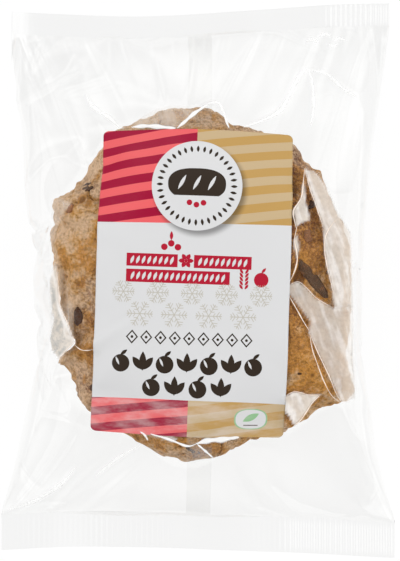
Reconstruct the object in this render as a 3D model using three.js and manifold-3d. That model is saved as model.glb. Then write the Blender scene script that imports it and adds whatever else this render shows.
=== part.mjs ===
// Fruit bread sealed in a clear film bag, with a paper label stuck on its front.
// Millimetres, +Z up. The pack lies on its back: X runs across it, Y along it
// towards the label's top, and the origin is under its middle, on the surface
// that it rests on. The bag is one closed solid out to its film.
import * as THREE from "three";
import { mergeVertices } from "three/addons/utils/BufferGeometryUtils.js";
import Module from "manifold-3d";

// Driving dimensions of the bag. Each outline is a smooth curve through a few
// points [place along the bag or across it, how far out it lies there].
const LEFT_SIDE = [
  [-122, -88.5],
  [-100, -89.5],
  [-76, -86.5],
  [-58, -79.5],
  [-42, -75],
  [-10, -76.5],
  [30, -79.3],
  [65, -81],
  [92, -86.5],
  [122, -83],
];
const RIGHT_SIDE = [
  [-122, 89.5],
  [-108, 87.5],
  [-84, 81.5],
  [-55, 76],
  [-35, 73],
  [0, 73],
  [40, 75.3],
  [80, 80.5],
  [122, 87.2],
];
const TOP_END = [
  [-90, 121],
  [-20, 119],
  [67, 124.5],
  [90, 125],
];
const BOTTOM_END = [
  [-90, -121.5],
  [-45, -119.5],
  [30, -122],
  [90, -125],
];
const TOP_SEAL = 10; // depth of the crimped band
const BOTTOM_SEAL = 16;
const CRIMP_PITCH = 2.4;
const CRIMP_HEIGHT = 0.5;
const CRIMP_LAP = 1; // how far a crimped band reaches into the pillow
const CRIMP_Y = 120; // about how far from the middle the crimped bands lie
const FILM = 0.6; // both films together in the crimped bands, made thick enough to hold
const RIM = 1.4; // depth of the pillow's rim, a little more than the ridges'
const SIDE_Z = 8; // height of the bag's side folds
const SEAL_Z = 6.5; // height of the ends over the surface
const SEAL_WAVE = 2.2;
const SEAL_DROOP = 2; // at the corners

// Driving dimensions of the loaf that fills the bag.
const LOAF_WIDTH = 137;
const LOAF_LENGTH = 159;
const LOAF_HEIGHT = 39.5;
const LOAF_Y = -2;
const LOAF_FLATNESS = 4.2; // how flat its top is
const LOAF_SHOULDER = 0.55; // how steeply its side rises
const LOAF_FOOT = 0.86; // share of its outline that its flat underside reaches
const LOAF_CLEARANCE = 0.6; // film and slack over the crust

// Driving dimensions of the label, seen from above.
const LABEL_WIDTH = 86;
const LABEL_LENGTH = 137;
const LABEL_CORNER = 2.4;
const LABEL_X = -3.4;
const LABEL_Y = -1.4;
const LABEL_TURN = -1.7; // degrees
const LABEL_THICK = 0.4;
const LABEL_GAP = 0.6;

// Fineness of the meshes.
const ACROSS = 28;
const ALONG = 40;
const RELAX_TURNS = 700;
const LABEL_ACROSS = 16;
const LABEL_ALONG = 24;
const CORNER_STEPS = 3;

const degrees = THREE.MathUtils.degToRad;
const lerp = THREE.MathUtils.lerp;
const clamp = THREE.MathUtils.clamp;

// A smooth curve through points [at, value], as a function of `at`.
function curveThrough(points) {
  const slope = (k) => {
    const before = points[Math.max(k - 1, 0)];
    const after = points[Math.min(k + 1, points.length - 1)];
    return (after[1] - before[1]) / (after[0] - before[0]);
  };
  return (at) => {
    let k = 0;
    while (k < points.length - 2 && at > points[k + 1][0]) {
      k++;
    }
    const [start, from] = points[k];
    const [finish, to] = points[k + 1];
    const span = finish - start;
    const t = clamp((at - start) / span, 0, 1);
    const ease = t * t * (3 - 2 * t);
    const leaving = t * (1 - t) ** 2 * span * slope(k);
    const arriving = t * t * (t - 1) * span * slope(k + 1);
    return lerp(from, to, ease) + leaving + arriving;
  };
}

const leftSide = curveThrough(LEFT_SIDE);
const rightSide = curveThrough(RIGHT_SIDE);
const topEnd = curveThrough(TOP_END);
const bottomEnd = curveThrough(BOTTOM_END);

// The loaf's outline is an oval with a few lumps: direction and spread in
// degrees, and how far each stands out.
const LUMPS = [
  { towards: 150, out: 6, spread: 6 },
  { towards: 203, out: -5, spread: 8 },
  { towards: 290, out: -4, spread: 11 },
  { towards: 325, out: 8, spread: 9 },
];

function loafRadius(angle) {
  const a = LOAF_WIDTH / 2;
  const b = LOAF_LENGTH / 2;
  let radius = (a * b) / Math.hypot(b * Math.cos(angle), a * Math.sin(angle));
  for (const { towards, out, spread } of LUMPS) {
    const turned = angle - degrees(towards) + Math.PI;
    const away = THREE.MathUtils.euclideanModulo(turned, 2 * Math.PI) - Math.PI;
    radius += out * Math.exp(-0.5 * (away / degrees(spread)) ** 2);
  }
  return radius;
}

// How far out a point lies from the loaf's middle, 1 on its outline.
function loafShare(x, y) {
  return Math.hypot(x, y - LOAF_Y) / loafRadius(Math.atan2(y - LOAF_Y, x));
}

// Height of the crust over a point on the loaf.
function loafHeight(share) {
  return LOAF_HEIGHT * (1 - share ** LOAF_FLATNESS) ** LOAF_SHOULDER;
}

// The ends wave a little across the bag and droop towards their corners.
function sealHeight(x, end) {
  const across = x / LEFT_SIDE[0][1];
  return SEAL_Z + SEAL_WAVE * Math.cos(across * 4 - end) - SEAL_DROOP * across ** 2;
}

// A closed solid from two grids of points over each other, (rows + 1) by
// (columns + 1), joined round their edges.
function gridSolid(rows, columns, topPoint, bottomPoint) {
  const positions = [];
  const faces = [];
  const wide = columns + 1;
  const layer = (rows + 1) * wide;
  for (const point of [topPoint, bottomPoint]) {
    for (let j = 0; j <= rows; j++) {
      for (let i = 0; i <= columns; i++) {
        positions.push(...point(i, j));
      }
    }
  }
  const quad = (a, b, c, d) => {
    faces.push(a, b, c, a, c, d);
  };
  for (let j = 0; j < rows; j++) {
    for (let i = 0; i < columns; i++) {
      const at = j * wide + i;
      quad(at, at + 1, at + 1 + wide, at + wide);
      quad(layer + at, layer + at + wide, layer + at + 1 + wide, layer + at + 1);
    }
  }
  const wall = (a, b) => {
    quad(a, layer + a, layer + b, b);
  };
  for (let i = 0; i < columns; i++) {
    wall(i, i + 1);
    wall(rows * wide + i + 1, rows * wide + i);
  }
  for (let j = 0; j < rows; j++) {
    wall((j + 1) * wide, j * wide);
    wall(j * wide + columns, (j + 1) * wide + columns);
  }
  const geometry = new THREE.BufferGeometry();
  geometry.setAttribute("position", new THREE.Float32BufferAttribute(positions, 3));
  geometry.setIndex(faces);
  return geometry;
}

// The place of a point a share of the way across the bag and along the pillow
// between its crimped ends. The sides depend on how far up the bag the point
// lies, and that depends on the ends there, so the two are worked out in turns.
function onBag(across, along) {
  let x = 0;
  let y = 0;
  for (let turn = 0; turn < 4; turn++) {
    y = lerp(bottomEnd(x) + BOTTOM_SEAL, topEnd(x) - TOP_SEAL, along);
    x = lerp(leftSide(y), rightSide(y), across);
  }
  return [x, y];
}

const places = [];
for (let j = 0; j <= ALONG; j++) {
  places.push([]);
  for (let i = 0; i <= ACROSS; i++) {
    places[j].push(onBag(i / ACROSS, j / ALONG));
  }
}

// Each film is a skin drawn tight from the bag's edges over what it covers, so
// every height is the mean of those round it unless the loaf or the surface
// below holds it away.
function edgeHeight(i, j) {
  const share = (2 * j) / ALONG - 1;
  return lerp(SIDE_Z, sealHeight(places[j][i][0], Math.sign(share)), Math.abs(share) ** 3);
}

function skin(lift, held) {
  const heights = [];
  for (let j = 0; j <= ALONG; j++) {
    heights.push([]);
    for (let i = 0; i <= ACROSS; i++) {
      heights[j].push(edgeHeight(i, j) + lift);
    }
  }
  for (let turn = 0; turn < RELAX_TURNS; turn++) {
    for (let j = 1; j < ALONG; j++) {
      for (let i = 1; i < ACROSS; i++) {
        const beside = heights[j][i - 1] + heights[j][i + 1];
        const beyond = heights[j - 1][i] + heights[j + 1][i];
        heights[j][i] = held(loafShare(...places[j][i]), (beside + beyond) / 4);
      }
    }
  }
  return heights;
}

function heldUp(share, z) {
  return share < 1 ? Math.max(z, loafHeight(share) + LOAF_CLEARANCE) : z;
}

function heldDown(share, z) {
  return share < LOAF_FOOT ? 0 : Math.max(z, 0);
}

const topSkin = skin(RIM / 2, heldUp);
const bottomSkin = skin(-RIM / 2, heldDown);

function makePillow() {
  return gridSolid(
    ALONG,
    ACROSS,
    (i, j) => [...places[j][i], topSkin[j][i]],
    (i, j) => [...places[j][i], bottomSkin[j][i]],
  );
}

// A crimped end: a thin band folded into upright ridges. It reaches a little
// into the pillow, where the two are joined.
function makeCrimp(end) {
  const width = rightSide(end * CRIMP_Y) - leftSide(end * CRIMP_Y);
  const columns = 2 * Math.round(width / CRIMP_PITCH);
  const point = (side) => (i, j) => {
    const [x] = onBag(i / columns, end > 0 ? 1 : 0);
    const edge = end > 0 ? topEnd(x) : bottomEnd(x);
    const inner = edge - end * ((end > 0 ? TOP_SEAL : BOTTOM_SEAL) + CRIMP_LAP);
    const ridge = (i % 2 ? 1 : -1) * (CRIMP_HEIGHT / 2);
    const y = lerp(inner, edge, end > 0 ? j : 1 - j);
    return [x, y, sealHeight(x, end) + ridge + (side * FILM) / 2];
  };
  return gridSolid(1, columns, point(1), point(-1));
}

const wasm = await Module();
wasm.setup();

function toSolid(geometry) {
  const merged = mergeVertices(geometry.clone(), 1e-3);
  return new wasm.Manifold(
    new wasm.Mesh({
      numProp: 3,
      vertProperties: merged.attributes.position.array,
      triVerts: new Uint32Array(merged.index.array),
    }),
  );
}

function toGeometry(solid) {
  const mesh = solid.getMesh();
  const geometry = new THREE.BufferGeometry();
  geometry.setAttribute("position", new THREE.BufferAttribute(mesh.vertProperties, 3));
  geometry.setIndex(new THREE.BufferAttribute(mesh.triVerts, 1));
  geometry.computeVertexNormals();
  return geometry;
}

function makeBag() {
  const solid = toSolid(makePillow()).add(toSolid(makeCrimp(1))).add(toSolid(makeCrimp(-1)));
  const bag = new THREE.Mesh(
    toGeometry(solid),
    new THREE.MeshStandardMaterial({
      color: 0xc9a888,
      roughness: 0.15,
      metalness: 0,
      transparent: true,
      opacity: 0.6,
    }),
  );
  bag.name = "bag";
  return bag;
}

// Height of the bag's top film at a point, read off the pillow's mesh.
function filmHeight(x, y) {
  const low = bottomEnd(x) + BOTTOM_SEAL;
  const high = topEnd(x) - TOP_SEAL;
  const u = clamp((x - leftSide(y)) / (rightSide(y) - leftSide(y)), 0, 0.999) * ACROSS;
  const v = clamp((y - low) / (high - low), 0, 0.999) * ALONG;
  const i = Math.floor(u);
  const j = Math.floor(v);
  const across = u - i;
  const along = v - j;
  const here = topSkin[j][i];
  const corner = topSkin[j + 1][i + 1];
  if (across > along) {
    const beside = topSkin[j][i + 1];
    return here + across * (beside - here) + along * (corner - beside);
  }
  const beyond = topSkin[j + 1][i];
  return here + along * (beyond - here) + across * (corner - beyond);
}

// The label's rows, from its lower edge to its upper one: where each lies and
// how far it reaches to either side. The corners are round.
function labelRows() {
  const corner = [];
  for (let k = 0; k < CORNER_STEPS; k++) {
    const angle = degrees(90 * (1 - k / CORNER_STEPS));
    corner.push({
      y: LABEL_LENGTH / 2 - LABEL_CORNER * (1 - Math.sin(angle)),
      reach: LABEL_WIDTH / 2 - LABEL_CORNER * (1 - Math.cos(angle)),
    });
  }
  const rows = corner.map(({ y, reach }) => ({ y: -y, reach }));
  const straight = LABEL_LENGTH / 2 - LABEL_CORNER;
  for (let k = 0; k <= LABEL_ALONG; k++) {
    rows.push({ y: lerp(-straight, straight, k / LABEL_ALONG), reach: LABEL_WIDTH / 2 });
  }
  return rows.concat(corner.reverse());
}

function makeLabel() {
  const rows = labelRows();
  const turn = degrees(LABEL_TURN);
  const point = (lift) => (i, j) => {
    const across = lerp(-rows[j].reach, rows[j].reach, i / LABEL_ACROSS);
    const x = LABEL_X + across * Math.cos(turn) - rows[j].y * Math.sin(turn);
    const y = LABEL_Y + across * Math.sin(turn) + rows[j].y * Math.cos(turn);
    return [x, y, filmHeight(x, y) + lift];
  };
  const label = new THREE.Mesh(
    gridSolid(rows.length - 1, LABEL_ACROSS, point(LABEL_GAP + LABEL_THICK), point(LABEL_GAP)),
    new THREE.MeshStandardMaterial({ color: 0xe2e2e2, roughness: 0.45, metalness: 0 }),
  );
  label.name = "label";
  return label;
}

const bag = makeBag();
const middle = new THREE.Box3().setFromObject(bag).getCenter(new THREE.Vector3());
const pack = new THREE.Group();
pack.add(bag, makeLabel());
pack.position.set(-middle.x, -middle.y, 0);

export default pack;
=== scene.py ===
"""Fruit loaf sealed in a clear film bag, with a printed paper label on its front.

The pack lies on its back: X runs across it, Y along it towards the label's top, and Z up.
The settings and the meshes are in metres. All working in between is in millimetres.
"""

import itertools
import math

import bpy
import numpy as np
from bpy.props import FloatProperty, FloatVectorProperty, PointerProperty
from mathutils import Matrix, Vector


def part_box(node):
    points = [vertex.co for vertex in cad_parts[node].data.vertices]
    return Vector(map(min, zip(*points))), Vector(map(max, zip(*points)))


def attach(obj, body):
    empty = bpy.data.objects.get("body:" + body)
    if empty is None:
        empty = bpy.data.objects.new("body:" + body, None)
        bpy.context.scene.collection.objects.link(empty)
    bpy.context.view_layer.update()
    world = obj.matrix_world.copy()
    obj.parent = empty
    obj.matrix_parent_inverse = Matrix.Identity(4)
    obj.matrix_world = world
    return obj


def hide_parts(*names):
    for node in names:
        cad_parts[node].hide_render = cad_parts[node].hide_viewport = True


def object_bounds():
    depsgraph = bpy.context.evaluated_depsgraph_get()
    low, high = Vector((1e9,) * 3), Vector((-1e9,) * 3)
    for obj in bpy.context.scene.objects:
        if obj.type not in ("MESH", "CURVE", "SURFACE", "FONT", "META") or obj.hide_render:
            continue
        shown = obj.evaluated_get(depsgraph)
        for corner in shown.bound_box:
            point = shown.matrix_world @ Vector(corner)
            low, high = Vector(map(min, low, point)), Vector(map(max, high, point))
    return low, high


bl_info = {
    "name": "Fruit Bread Pack",
    "version": (1, 0, 0),
    "blender": (4, 5, 0),
    "location": "3D View > Sidebar > Bread",
    "description": "Builds the looks of a fruit loaf in a film bag round its fixed frame",
    "category": "Object",
}

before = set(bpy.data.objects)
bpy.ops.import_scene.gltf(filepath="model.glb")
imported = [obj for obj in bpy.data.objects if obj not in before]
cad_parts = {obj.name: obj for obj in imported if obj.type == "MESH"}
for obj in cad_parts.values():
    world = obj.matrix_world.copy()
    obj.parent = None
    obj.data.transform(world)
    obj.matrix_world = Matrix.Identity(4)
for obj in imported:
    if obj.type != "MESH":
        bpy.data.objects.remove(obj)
cad_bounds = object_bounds()

MM = 0.001

# The view from above: how high the camera stands, the height at which the view is measured, and how
# far right of the bag's middle it is centred.
VIEW_DISTANCE = 1.7
VIEW_Z = 0.005
VIEW_SHIFT = 0.0009


# ---------------------------------------------------------------- settings


def length_setting(name, description, default):
    return FloatProperty(name=name, description=description, default=default, unit="LENGTH", precision=4)


def colour_setting(name, description, default):
    return FloatVectorProperty(
        name=name, description=description, default=default, subtype="COLOR", size=3, min=0, max=1
    )


class BagSettings(bpy.types.PropertyGroup):
    """Sizes and film of the bag."""

    flat_width: length_setting("Flat width", "Width of the empty bag laid flat", 0.178)
    top_seal: length_setting("Top seal", "Depth of the crimped band at the label's top end", 0.010)
    bottom_seal: length_setting("Bottom seal", "Depth of the crimped band at the other end", 0.016)
    crimp_pitch: length_setting("Crimp pitch", "Distance from one crimp ridge to the next", 0.0024)
    fin_width: length_setting("Seam width", "Width of the seam that is folded flat on the back", 0.011)
    tint: colour_setting("Tint", "What the film lets through", (0.985, 0.985, 0.982))


class LoafSettings(bpy.types.PropertyGroup):
    """Sizes and crust of the loaf."""

    width: length_setting("Width", "Size across the bag", 0.137)
    length: length_setting("Length", "Size along the bag", 0.159)
    height: length_setting("Height", "Height over the surface it rests on", 0.039)
    crust: colour_setting("Crust", "Most of the crust", (0.79, 0.425, 0.125))
    pale: colour_setting("Pale crust", "Dry, floury places", (0.95, 0.69, 0.48))
    honey: colour_setting("Honey crust", "Moist places and shallow hollows", (0.78, 0.365, 0.080))
    # Dark crust also paints the shade in the deepest hollows.
    baked_and_shade: colour_setting("Dark crust", "Well baked places and deep hollows", (0.17, 0.068, 0.024))
    # Toasted crust also paints the shadow in strips beside the label's edges.
    toasted_and_shaded: colour_setting("Toasted crust", "Rosy brown where it is baked through", (0.22, 0.088, 0.058))
    raisin: colour_setting("Raisins", "Skin of the raisins", (0.085, 0.034, 0.015))
    fig: colour_setting("Dried fruit", "Cut face of the dried fruit", (0.105, 0.06, 0.034))
    seedy: colour_setting("Seedy fruit", "Paler, seedy flesh of the dried fruit", (0.72, 0.30, 0.12))


class LabelSettings(bpy.types.PropertyGroup):
    """Size and print of the label."""

    width: length_setting("Width", "Size across", 0.086)
    length: length_setting("Length", "Size from top to bottom", 0.1375)
    corner: length_setting("Corner", "Radius of the corners", 0.0024)
    turn: FloatProperty(
        name="Turn", description="How far it is stuck on askew", default=math.radians(-1.8), subtype="ANGLE"
    )
    paper: colour_setting("Paper", "Bare paper", (0.625, 0.625, 0.63))
    crimson: colour_setting("Crimson", "Dark stripes of the warm half", (0.315, 0.004, 0.033))
    coral: colour_setting("Coral", "Light stripes of the warm half", (0.74, 0.115, 0.122))
    straw: colour_setting("Straw", "Dark stripes of the straw half", (0.47, 0.287, 0.092))
    cream: colour_setting("Cream", "Light stripes of the straw half", (0.51, 0.38, 0.22))
    red: colour_setting("Red", "Bars and small red figures", (0.40, 0.012, 0.032))
    ink: colour_setting("Ink", "Dark brown figures", (0.032, 0.022, 0.015))
    foil: colour_setting("Foil", "Fine pale figures", (0.42, 0.385, 0.31))
    green: colour_setting("Green", "Rim and leaf of the badge", (0.25, 0.46, 0.24))
    # The lower band's sheen is painted: a pale wash over its crumpled print where it bends towards the
    # light.
    crumpled_sheen: colour_setting("Worn", "Crumpled print of the lower band", (0.72, 0.66, 0.64))


class StageSettings(bpy.types.PropertyGroup):
    """Floor, light and view."""

    floor: colour_setting("Floor", "Plain pale floor", (1.0, 1.0, 1.0))
    distance: length_setting("Distance", "How far above the pack the camera stands", VIEW_DISTANCE)
    shift: length_setting("Shift", "How far right of the bag's middle the view is centred", VIEW_SHIFT)


# ------------------------------------------------------------------ meshes


def mesh_points(piece):
    """The vertices of a piece in millimetres, one row each."""
    flat = np.empty(len(piece.data.vertices) * 3, np.float32)
    piece.data.vertices.foreach_get("co", flat)
    return flat.reshape(-1, 3) / MM


def add_mesh(name, points, *face_arrays):
    """A smooth mesh piece from points in millimetres and arrays of faces with equal corners."""
    mesh = bpy.data.meshes.new(name)
    mesh.vertices.add(len(points))
    mesh.vertices.foreach_set("co", (np.asarray(points) * MM).astype(np.float32).ravel())
    corners = np.concatenate([np.full(len(faces), faces.shape[1]) for faces in face_arrays])
    mesh.loops.add(int(corners.sum()))
    mesh.loops.foreach_set("vertex_index", np.concatenate([faces.ravel() for faces in face_arrays]))
    mesh.polygons.add(len(corners))
    mesh.polygons.foreach_set("loop_start", np.concatenate([[0], np.cumsum(corners)[:-1]]))
    mesh.polygons.foreach_set("loop_total", corners)
    mesh.update(calc_edges=True)
    mesh.polygons.foreach_set("use_smooth", np.full(len(corners), True))
    piece = bpy.data.objects.new(name, mesh)
    bpy.context.scene.collection.objects.link(piece)
    return piece


def grid_faces(rows, columns, wrap=False):
    """Quads of a grid of rows by columns of points, closed round its columns if wrap is set."""
    last = columns if wrap else columns - 1
    j, i = np.meshgrid(np.arange(rows - 1), np.arange(last), indexing="ij")
    beside = (i + 1) % columns
    corners = [j * columns + i, j * columns + beside, (j + 1) * columns + beside, (j + 1) * columns + i]
    return np.stack(corners, -1).reshape(-1, 4)


def fan_faces(tip, ring, flip=False):
    """Triangles from one vertex to a closed ring of vertices."""
    after = np.roll(ring, -1)
    first, second = (after, ring) if flip else (ring, after)
    return np.stack([np.full(len(ring), tip), first, second], -1)


def joined(bodies):
    """Points and face arrays of one mesh, from the points and face arrays of its bodies."""
    starts = np.cumsum([0] + [len(points) for points, *_ in bodies])
    arrays = zip(*([faces + start for faces in body[1:]] for body, start in zip(bodies, starts)))
    return [np.concatenate([body[0] for body in bodies]), *map(np.concatenate, arrays)]


def store(piece, name, values):
    """Keeps one number for each vertex of a piece, for its material to read."""
    attribute = piece.data.attributes.new(name, "FLOAT", "POINT")
    attribute.data.foreach_set("value", np.asarray(values, np.float32).ravel())


NOISE_CELLS = 48


def noise_at(points, size, seed):
    """Smooth noise between -1 and 1 at rows of points, with bumps about size apart."""
    lattice = np.random.default_rng(seed).uniform(-1, 1, (NOISE_CELLS,) * 3)
    place = points / size
    cell = np.floor(place).astype(int)
    part = place - cell
    part = part * part * (3 - 2 * part)
    total = np.zeros(len(points))
    for corner in itertools.product((0, 1), repeat=3):
        share = np.prod(np.where(corner, part, 1 - part), axis=1)
        total += share * lattice[tuple(((cell + corner) % NOISE_CELLS).T)]
    return total


def smooth_step(value, low, high):
    share = np.clip((value - low) / (high - low), 0, 1)
    return share * share * (3 - 2 * share)


def hump(place, middle, spread):
    """1 in the middle of a round hump, falling to 0 on both sides."""
    return np.exp(-(((place - middle) / spread) ** 2))


def tapered(run, reach, power):
    """1 along the middle of a line, falling to 0 within a share of its length at each end."""
    return np.minimum(1, np.minimum(run, 1 - run) / reach) ** power


def smoothed(values, reach):
    """Each value as the mean of those up to reach places away."""
    count = 2 * reach + 1
    return np.convolve(np.pad(values, reach, mode="edge"), np.ones(count) / count, "valid")


def turns_round(count):
    """Angles at even steps once round."""
    return np.linspace(-np.pi, np.pi, count, endpoint=False)


def upright_to(grid):
    """Vectors that stand upright on a closed grid of points (3, rows, columns)."""
    round_it = np.roll(grid, -1, 2) - np.roll(grid, 1, 2)
    return np.cross(round_it, np.gradient(grid, axis=1), axis=0)


def points_along(line, step):
    """Points at even steps along an open line, and the share of its length at each."""
    line = np.array(line, float)
    lengths = np.hypot(*np.diff(line, axis=0).T)
    at = np.concatenate([[0], np.cumsum(lengths)]) / lengths.sum()
    run = np.linspace(0, 1, max(8, int(lengths.sum() / step)))
    return np.interp(run, at, line[:, 0]), np.interp(run, at, line[:, 1]), run


# ------------------------------------------------- outlines of bag and loaf

ROW_REACH = 2.9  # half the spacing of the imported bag's rows, and a little more
COLUMN_REACH = 0.9  # the same for the ridges of its crimped ends
SAME_EDGE = 0.1
TABLE_STEP = 0.25
TABLE_END = 130


def edge_table(places, along, out, side, reach):
    """How far out the bag reaches on one side, at even steps along it."""
    order = np.argsort(places[:, along])
    at = places[order, along]
    far = side * places[order, out]
    first = np.searchsorted(at, at - reach)
    last = np.searchsorted(at, at + reach, side="right")
    keep = [far[k] > far[a:b].max() - SAME_EDGE for k, (a, b) in enumerate(zip(first, last))]
    steps = np.arange(-TABLE_END, TABLE_END + TABLE_STEP, TABLE_STEP)
    return (side * np.interp(steps, at[keep], far[keep])).astype(np.float32)


def look_up(table, place):
    return table[((np.asarray(place) + TABLE_END) / TABLE_STEP).astype(np.int32)]


class BagShape:
    """Sizes of the bag's film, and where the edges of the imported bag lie, read off its solid."""

    def __init__(self, settings):
        self.flat_width = settings.flat_width / MM
        self.top_seal = settings.top_seal / MM
        self.bottom_seal = settings.bottom_seal / MM
        self.crimp_pitch = settings.crimp_pitch / MM
        self.fin_width = settings.fin_width / MM
        places = np.unique(np.round(mesh_points(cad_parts["bag"]), 3), axis=0)
        self.tables = {
            "left": edge_table(places, 1, 0, -1, ROW_REACH),
            "right": edge_table(places, 1, 0, 1, ROW_REACH),
            "bottom": edge_table(places, 0, 1, -1, COLUMN_REACH),
            "top": edge_table(places, 0, 1, 1, COLUMN_REACH),
        }

    def left(self, y):
        return look_up(self.tables["left"], y)

    def right(self, y):
        return look_up(self.tables["right"], y)

    def end(self, side, x):
        return look_up(self.tables["top" if side > 0 else "bottom"], x)

    def seal(self, end):
        return self.top_seal if end > 0 else self.bottom_seal


LOAF_CENTRE = (1.2, -2.0)
LOAF_LUMPS = [  # direction in degrees, how far it stands out, spread in degrees
    (0, -1.2, 5),
    (14, 1.4, 7),
    (30, -2.4, 4.5),
    (43, 1.4, 1.6),
    (49, -1.2, 2),
    (70, -4.0, 6),
    (79, -2.0, 4),
    (101, 2.3, 5),
    (120, 2.5, 5),
    (150.5, 6.4, 4.2),
    (163, 1.3, 5),
    (184, -3.6, 7),
    (197, -4.6, 5),
    (204, -5.0, 1.8),
    (208.5, 3.8, 2.0),
    (224, 4.4, 4.5),
    (250, -2.5, 5),
    (287, -4.5, 8),
    (307, 2.2, 4.5),
    (323.5, 12.2, 6.5),
    (340, 1.8, 5),
]
WAIST = 12  # height at which the loaf is widest
ROUND_OUT = 4.2  # powers of its rounding: outwards, above its waist and below it
ROUND_UP = 1.9
ROUND_DOWN = 2.6
ANGLE_STEPS = 1440
FAR_OUT = 1.5  # shares of the loaf's reach and height are cut off here, well outside it
LEAST_RISE = 0.02
PUSH_LIMIT = 3.0  # the furthest that one push moves a point


class LoafShape:
    """The loaf's body: an oval with lumps, rounded over a flat foot."""

    def __init__(self, settings):
        self.half = (settings.width / MM / 2, settings.length / MM / 2)
        self.height = settings.height / MM
        turns = np.linspace(-np.pi, np.pi, ANGLE_STEPS + 1)
        self.table = self.radius(turns).astype(np.float32)

    def radius(self, angle):
        a, b = self.half
        radius = a * b / np.hypot(b * np.cos(angle), a * np.sin(angle))
        for towards, out, spread in LOAF_LUMPS:
            away = (angle - math.radians(towards) + np.pi) % (2 * np.pi) - np.pi
            radius = radius + out * np.exp(-0.5 * (away / math.radians(spread)) ** 2)
        return radius

    def push_out(self, points, clearance, grown):
        """Moves points that lie in the loaf towards its surface, for a loaf grown in height so far."""
        x = points[0] - LOAF_CENTRE[0]
        y = points[1] - LOAF_CENTRE[1]
        z = points[2]
        away = np.sqrt(x * x + y * y) + 1e-4
        turn = (np.arctan2(y, x) + np.pi) * (ANGLE_STEPS / (2 * np.pi))
        reach = self.table[turn.astype(np.int32)] + clearance
        waist = WAIST * grown
        above = z > waist
        tall = np.where(above, (self.height - WAIST) * grown + clearance, waist + 0.05)
        rise = np.minimum(np.abs(z - waist) / tall, FAR_OUT)
        power = np.where(above, ROUND_UP, ROUND_DOWN)
        share = np.minimum(away / reach, FAR_OUT)
        depth = 1 - share**ROUND_OUT - rise**power
        outwards = ROUND_OUT * share ** (ROUND_OUT - 1) / reach
        upwards = np.where(above, 1, -1) * power * np.maximum(rise, LEAST_RISE) ** (power - 1) / tall
        steepness = outwards**2 + upwards**2 + 1e-9
        move = np.where(depth > 0, depth / steepness, 0)
        move *= np.minimum(1, PUSH_LIMIT / np.maximum(move * np.sqrt(steepness), 1e-6))
        points[0] += move * outwards * x / away
        points[1] += move * outwards * y / away
        points[2] += move * upwards

    def profile(self, turn):
        """Share of the outline's reach and height at a turn from 90 degrees, on top, to -90, below."""
        share = np.abs(np.cos(turn)) ** (2 / ROUND_OUT)
        sine = np.abs(np.sin(turn))
        above = WAIST + (self.height - WAIST) * sine ** (2 / ROUND_UP)
        below = WAIST - WAIST * sine ** (2 / ROUND_DOWN)
        return share, np.where(turn > 0, above, below)


# -------------------------------------------------------------- film drape

TOP_LENGTH = 236  # length of film between the seals, over the loaf and under it
BOTTOM_LENGTH = 219
COARSE_ACROSS = 45  # columns of each sheet and rows of the film when it starts to settle
COARSE_ALONG = 60
FINE_ACROSS = 4 * COARSE_ACROSS  # the same once it has settled
FINE_ALONG = 4 * COARSE_ALONG
SEAL_SPAN = 90
SEAL_Z = 6.5
SEAL_WAVE = 2.2  # height of the sealed ends' long wave, and how fast it runs
SEAL_WAVE_RATE = 4
SEAL_SAG = 2
SEAL_CURL = 5.5  # height of the top end's curled corner
CURL_AT = (-92, 9)  # place and spread
RIPPLES = {1: (1.2, 7.5), -1: (0.8, 9)}  # fine ripples of each end: height and length
RIPPLES_AT = (60, 40)  # place and spread of those at the top
SEAL_SAMPLES = 721
SEAL_LEVEL = 110  # how far along the bag the width of its ends is read
PILLOW_MIDDLE = 2.5  # how far the film's own middle lies towards the top end
SIDE_BLEND = 24  # width over which the two sheets' lengths pass into each other
LOWEST_FILM = 0.15
FILM_OFF_CRUST = 0.8
FILM_APART = 0.3  # gap that its two sheets keep
FILM_SWELL = 4  # how far the flat film is blown up at first
FILM_ROUGH = 0.05  # unevenness at first, from which it crumples
FILM_SEED = 3
PUSH_BACK = 0.6  # force with which film pressed together spreads, as a share of its pull when stretched
DRAG = 0.9  # share of its speed that the film keeps from step to step
TOP_SPEED = 1.5
PASSES = 6  # rounds of corrections in each step
FOLD_TAPER = (0.25, 0.7)  # share of a fold's length over which it falls off at each end, and power
FULL_GROWN = 0.7  # share of the steps after which the loaf has its full height
LABEL_HOLD = 0.25  # how firmly the label keeps the film under it straight
LABEL_SPANS = (45, 18)  # it does so over spans of the sheet's width divided by these
SETTLING = [  # steps, loaf's height at first, air pressure, bending, and width and share of the fold lift
    (150, 0.2, 0.02, 0.03, None),
    (100, 1, 0.006, 0.008, (1.4, 0.35)),
    (60, 1, 0.003, 0.002, (0.7, 0.0)),
]

# Folds that stand up from the top sheet: height, and points along each.
FOLDS = [
    (3.5, [(-55.5, 103.5), (-53, 96), (-49.5, 81), (-45.5, 75.5), (-36.5, 69)]),
    (2.0, [(-36.5, 69), (-45.5, 75.5), (-62, 81)]),
    (4.0, [(-11.5, 69), (-7, 70), (1, 78), (7, 80.5), (11.5, 76.5), (14.5, 69)]),
    (4.0, [(49, 95.5), (41.5, 84.5), (37, 76), (23.5, 69.5)]),
    (3.0, [(49, 95.5), (51.5, 87), (52.5, 80), (50.5, 70)]),
    (3.5, [(49, 95.5), (58, 92.5), (65.5, 86.5), (71.5, 82.5)]),
    (3.0, [(-56.5, -66), (-53, -84), (-62, -93), (-74.5, -100)]),
    (2.0, [(-25, -74), (-44, -88.5), (-53, -94.5)]),
    (2.0, [(-80, -108), (-61, -102)]),
    (3.0, [(-69.5, -58.5), (-58.5, -60), (-48.5, -65.5)]),
    (3.0, [(63, -54.5), (68.5, -67.5), (76, -75)]),
    (2.0, [(65.5, -99), (67, -112.5)]),
    (2.5, [(68.5, -96.5), (73, -102), (85, -112.5)]),
    (2.0, [(-66.5, 2.5), (-61, -9), (-63, -22.5), (-55.5, -36)]),
    (1.5, [(-26, -72), (-12.5, -74.5), (3, -73.5)]),
    (1.5, [(5.5, -74.5), (21, -73), (34.5, -75)]),
]


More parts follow.
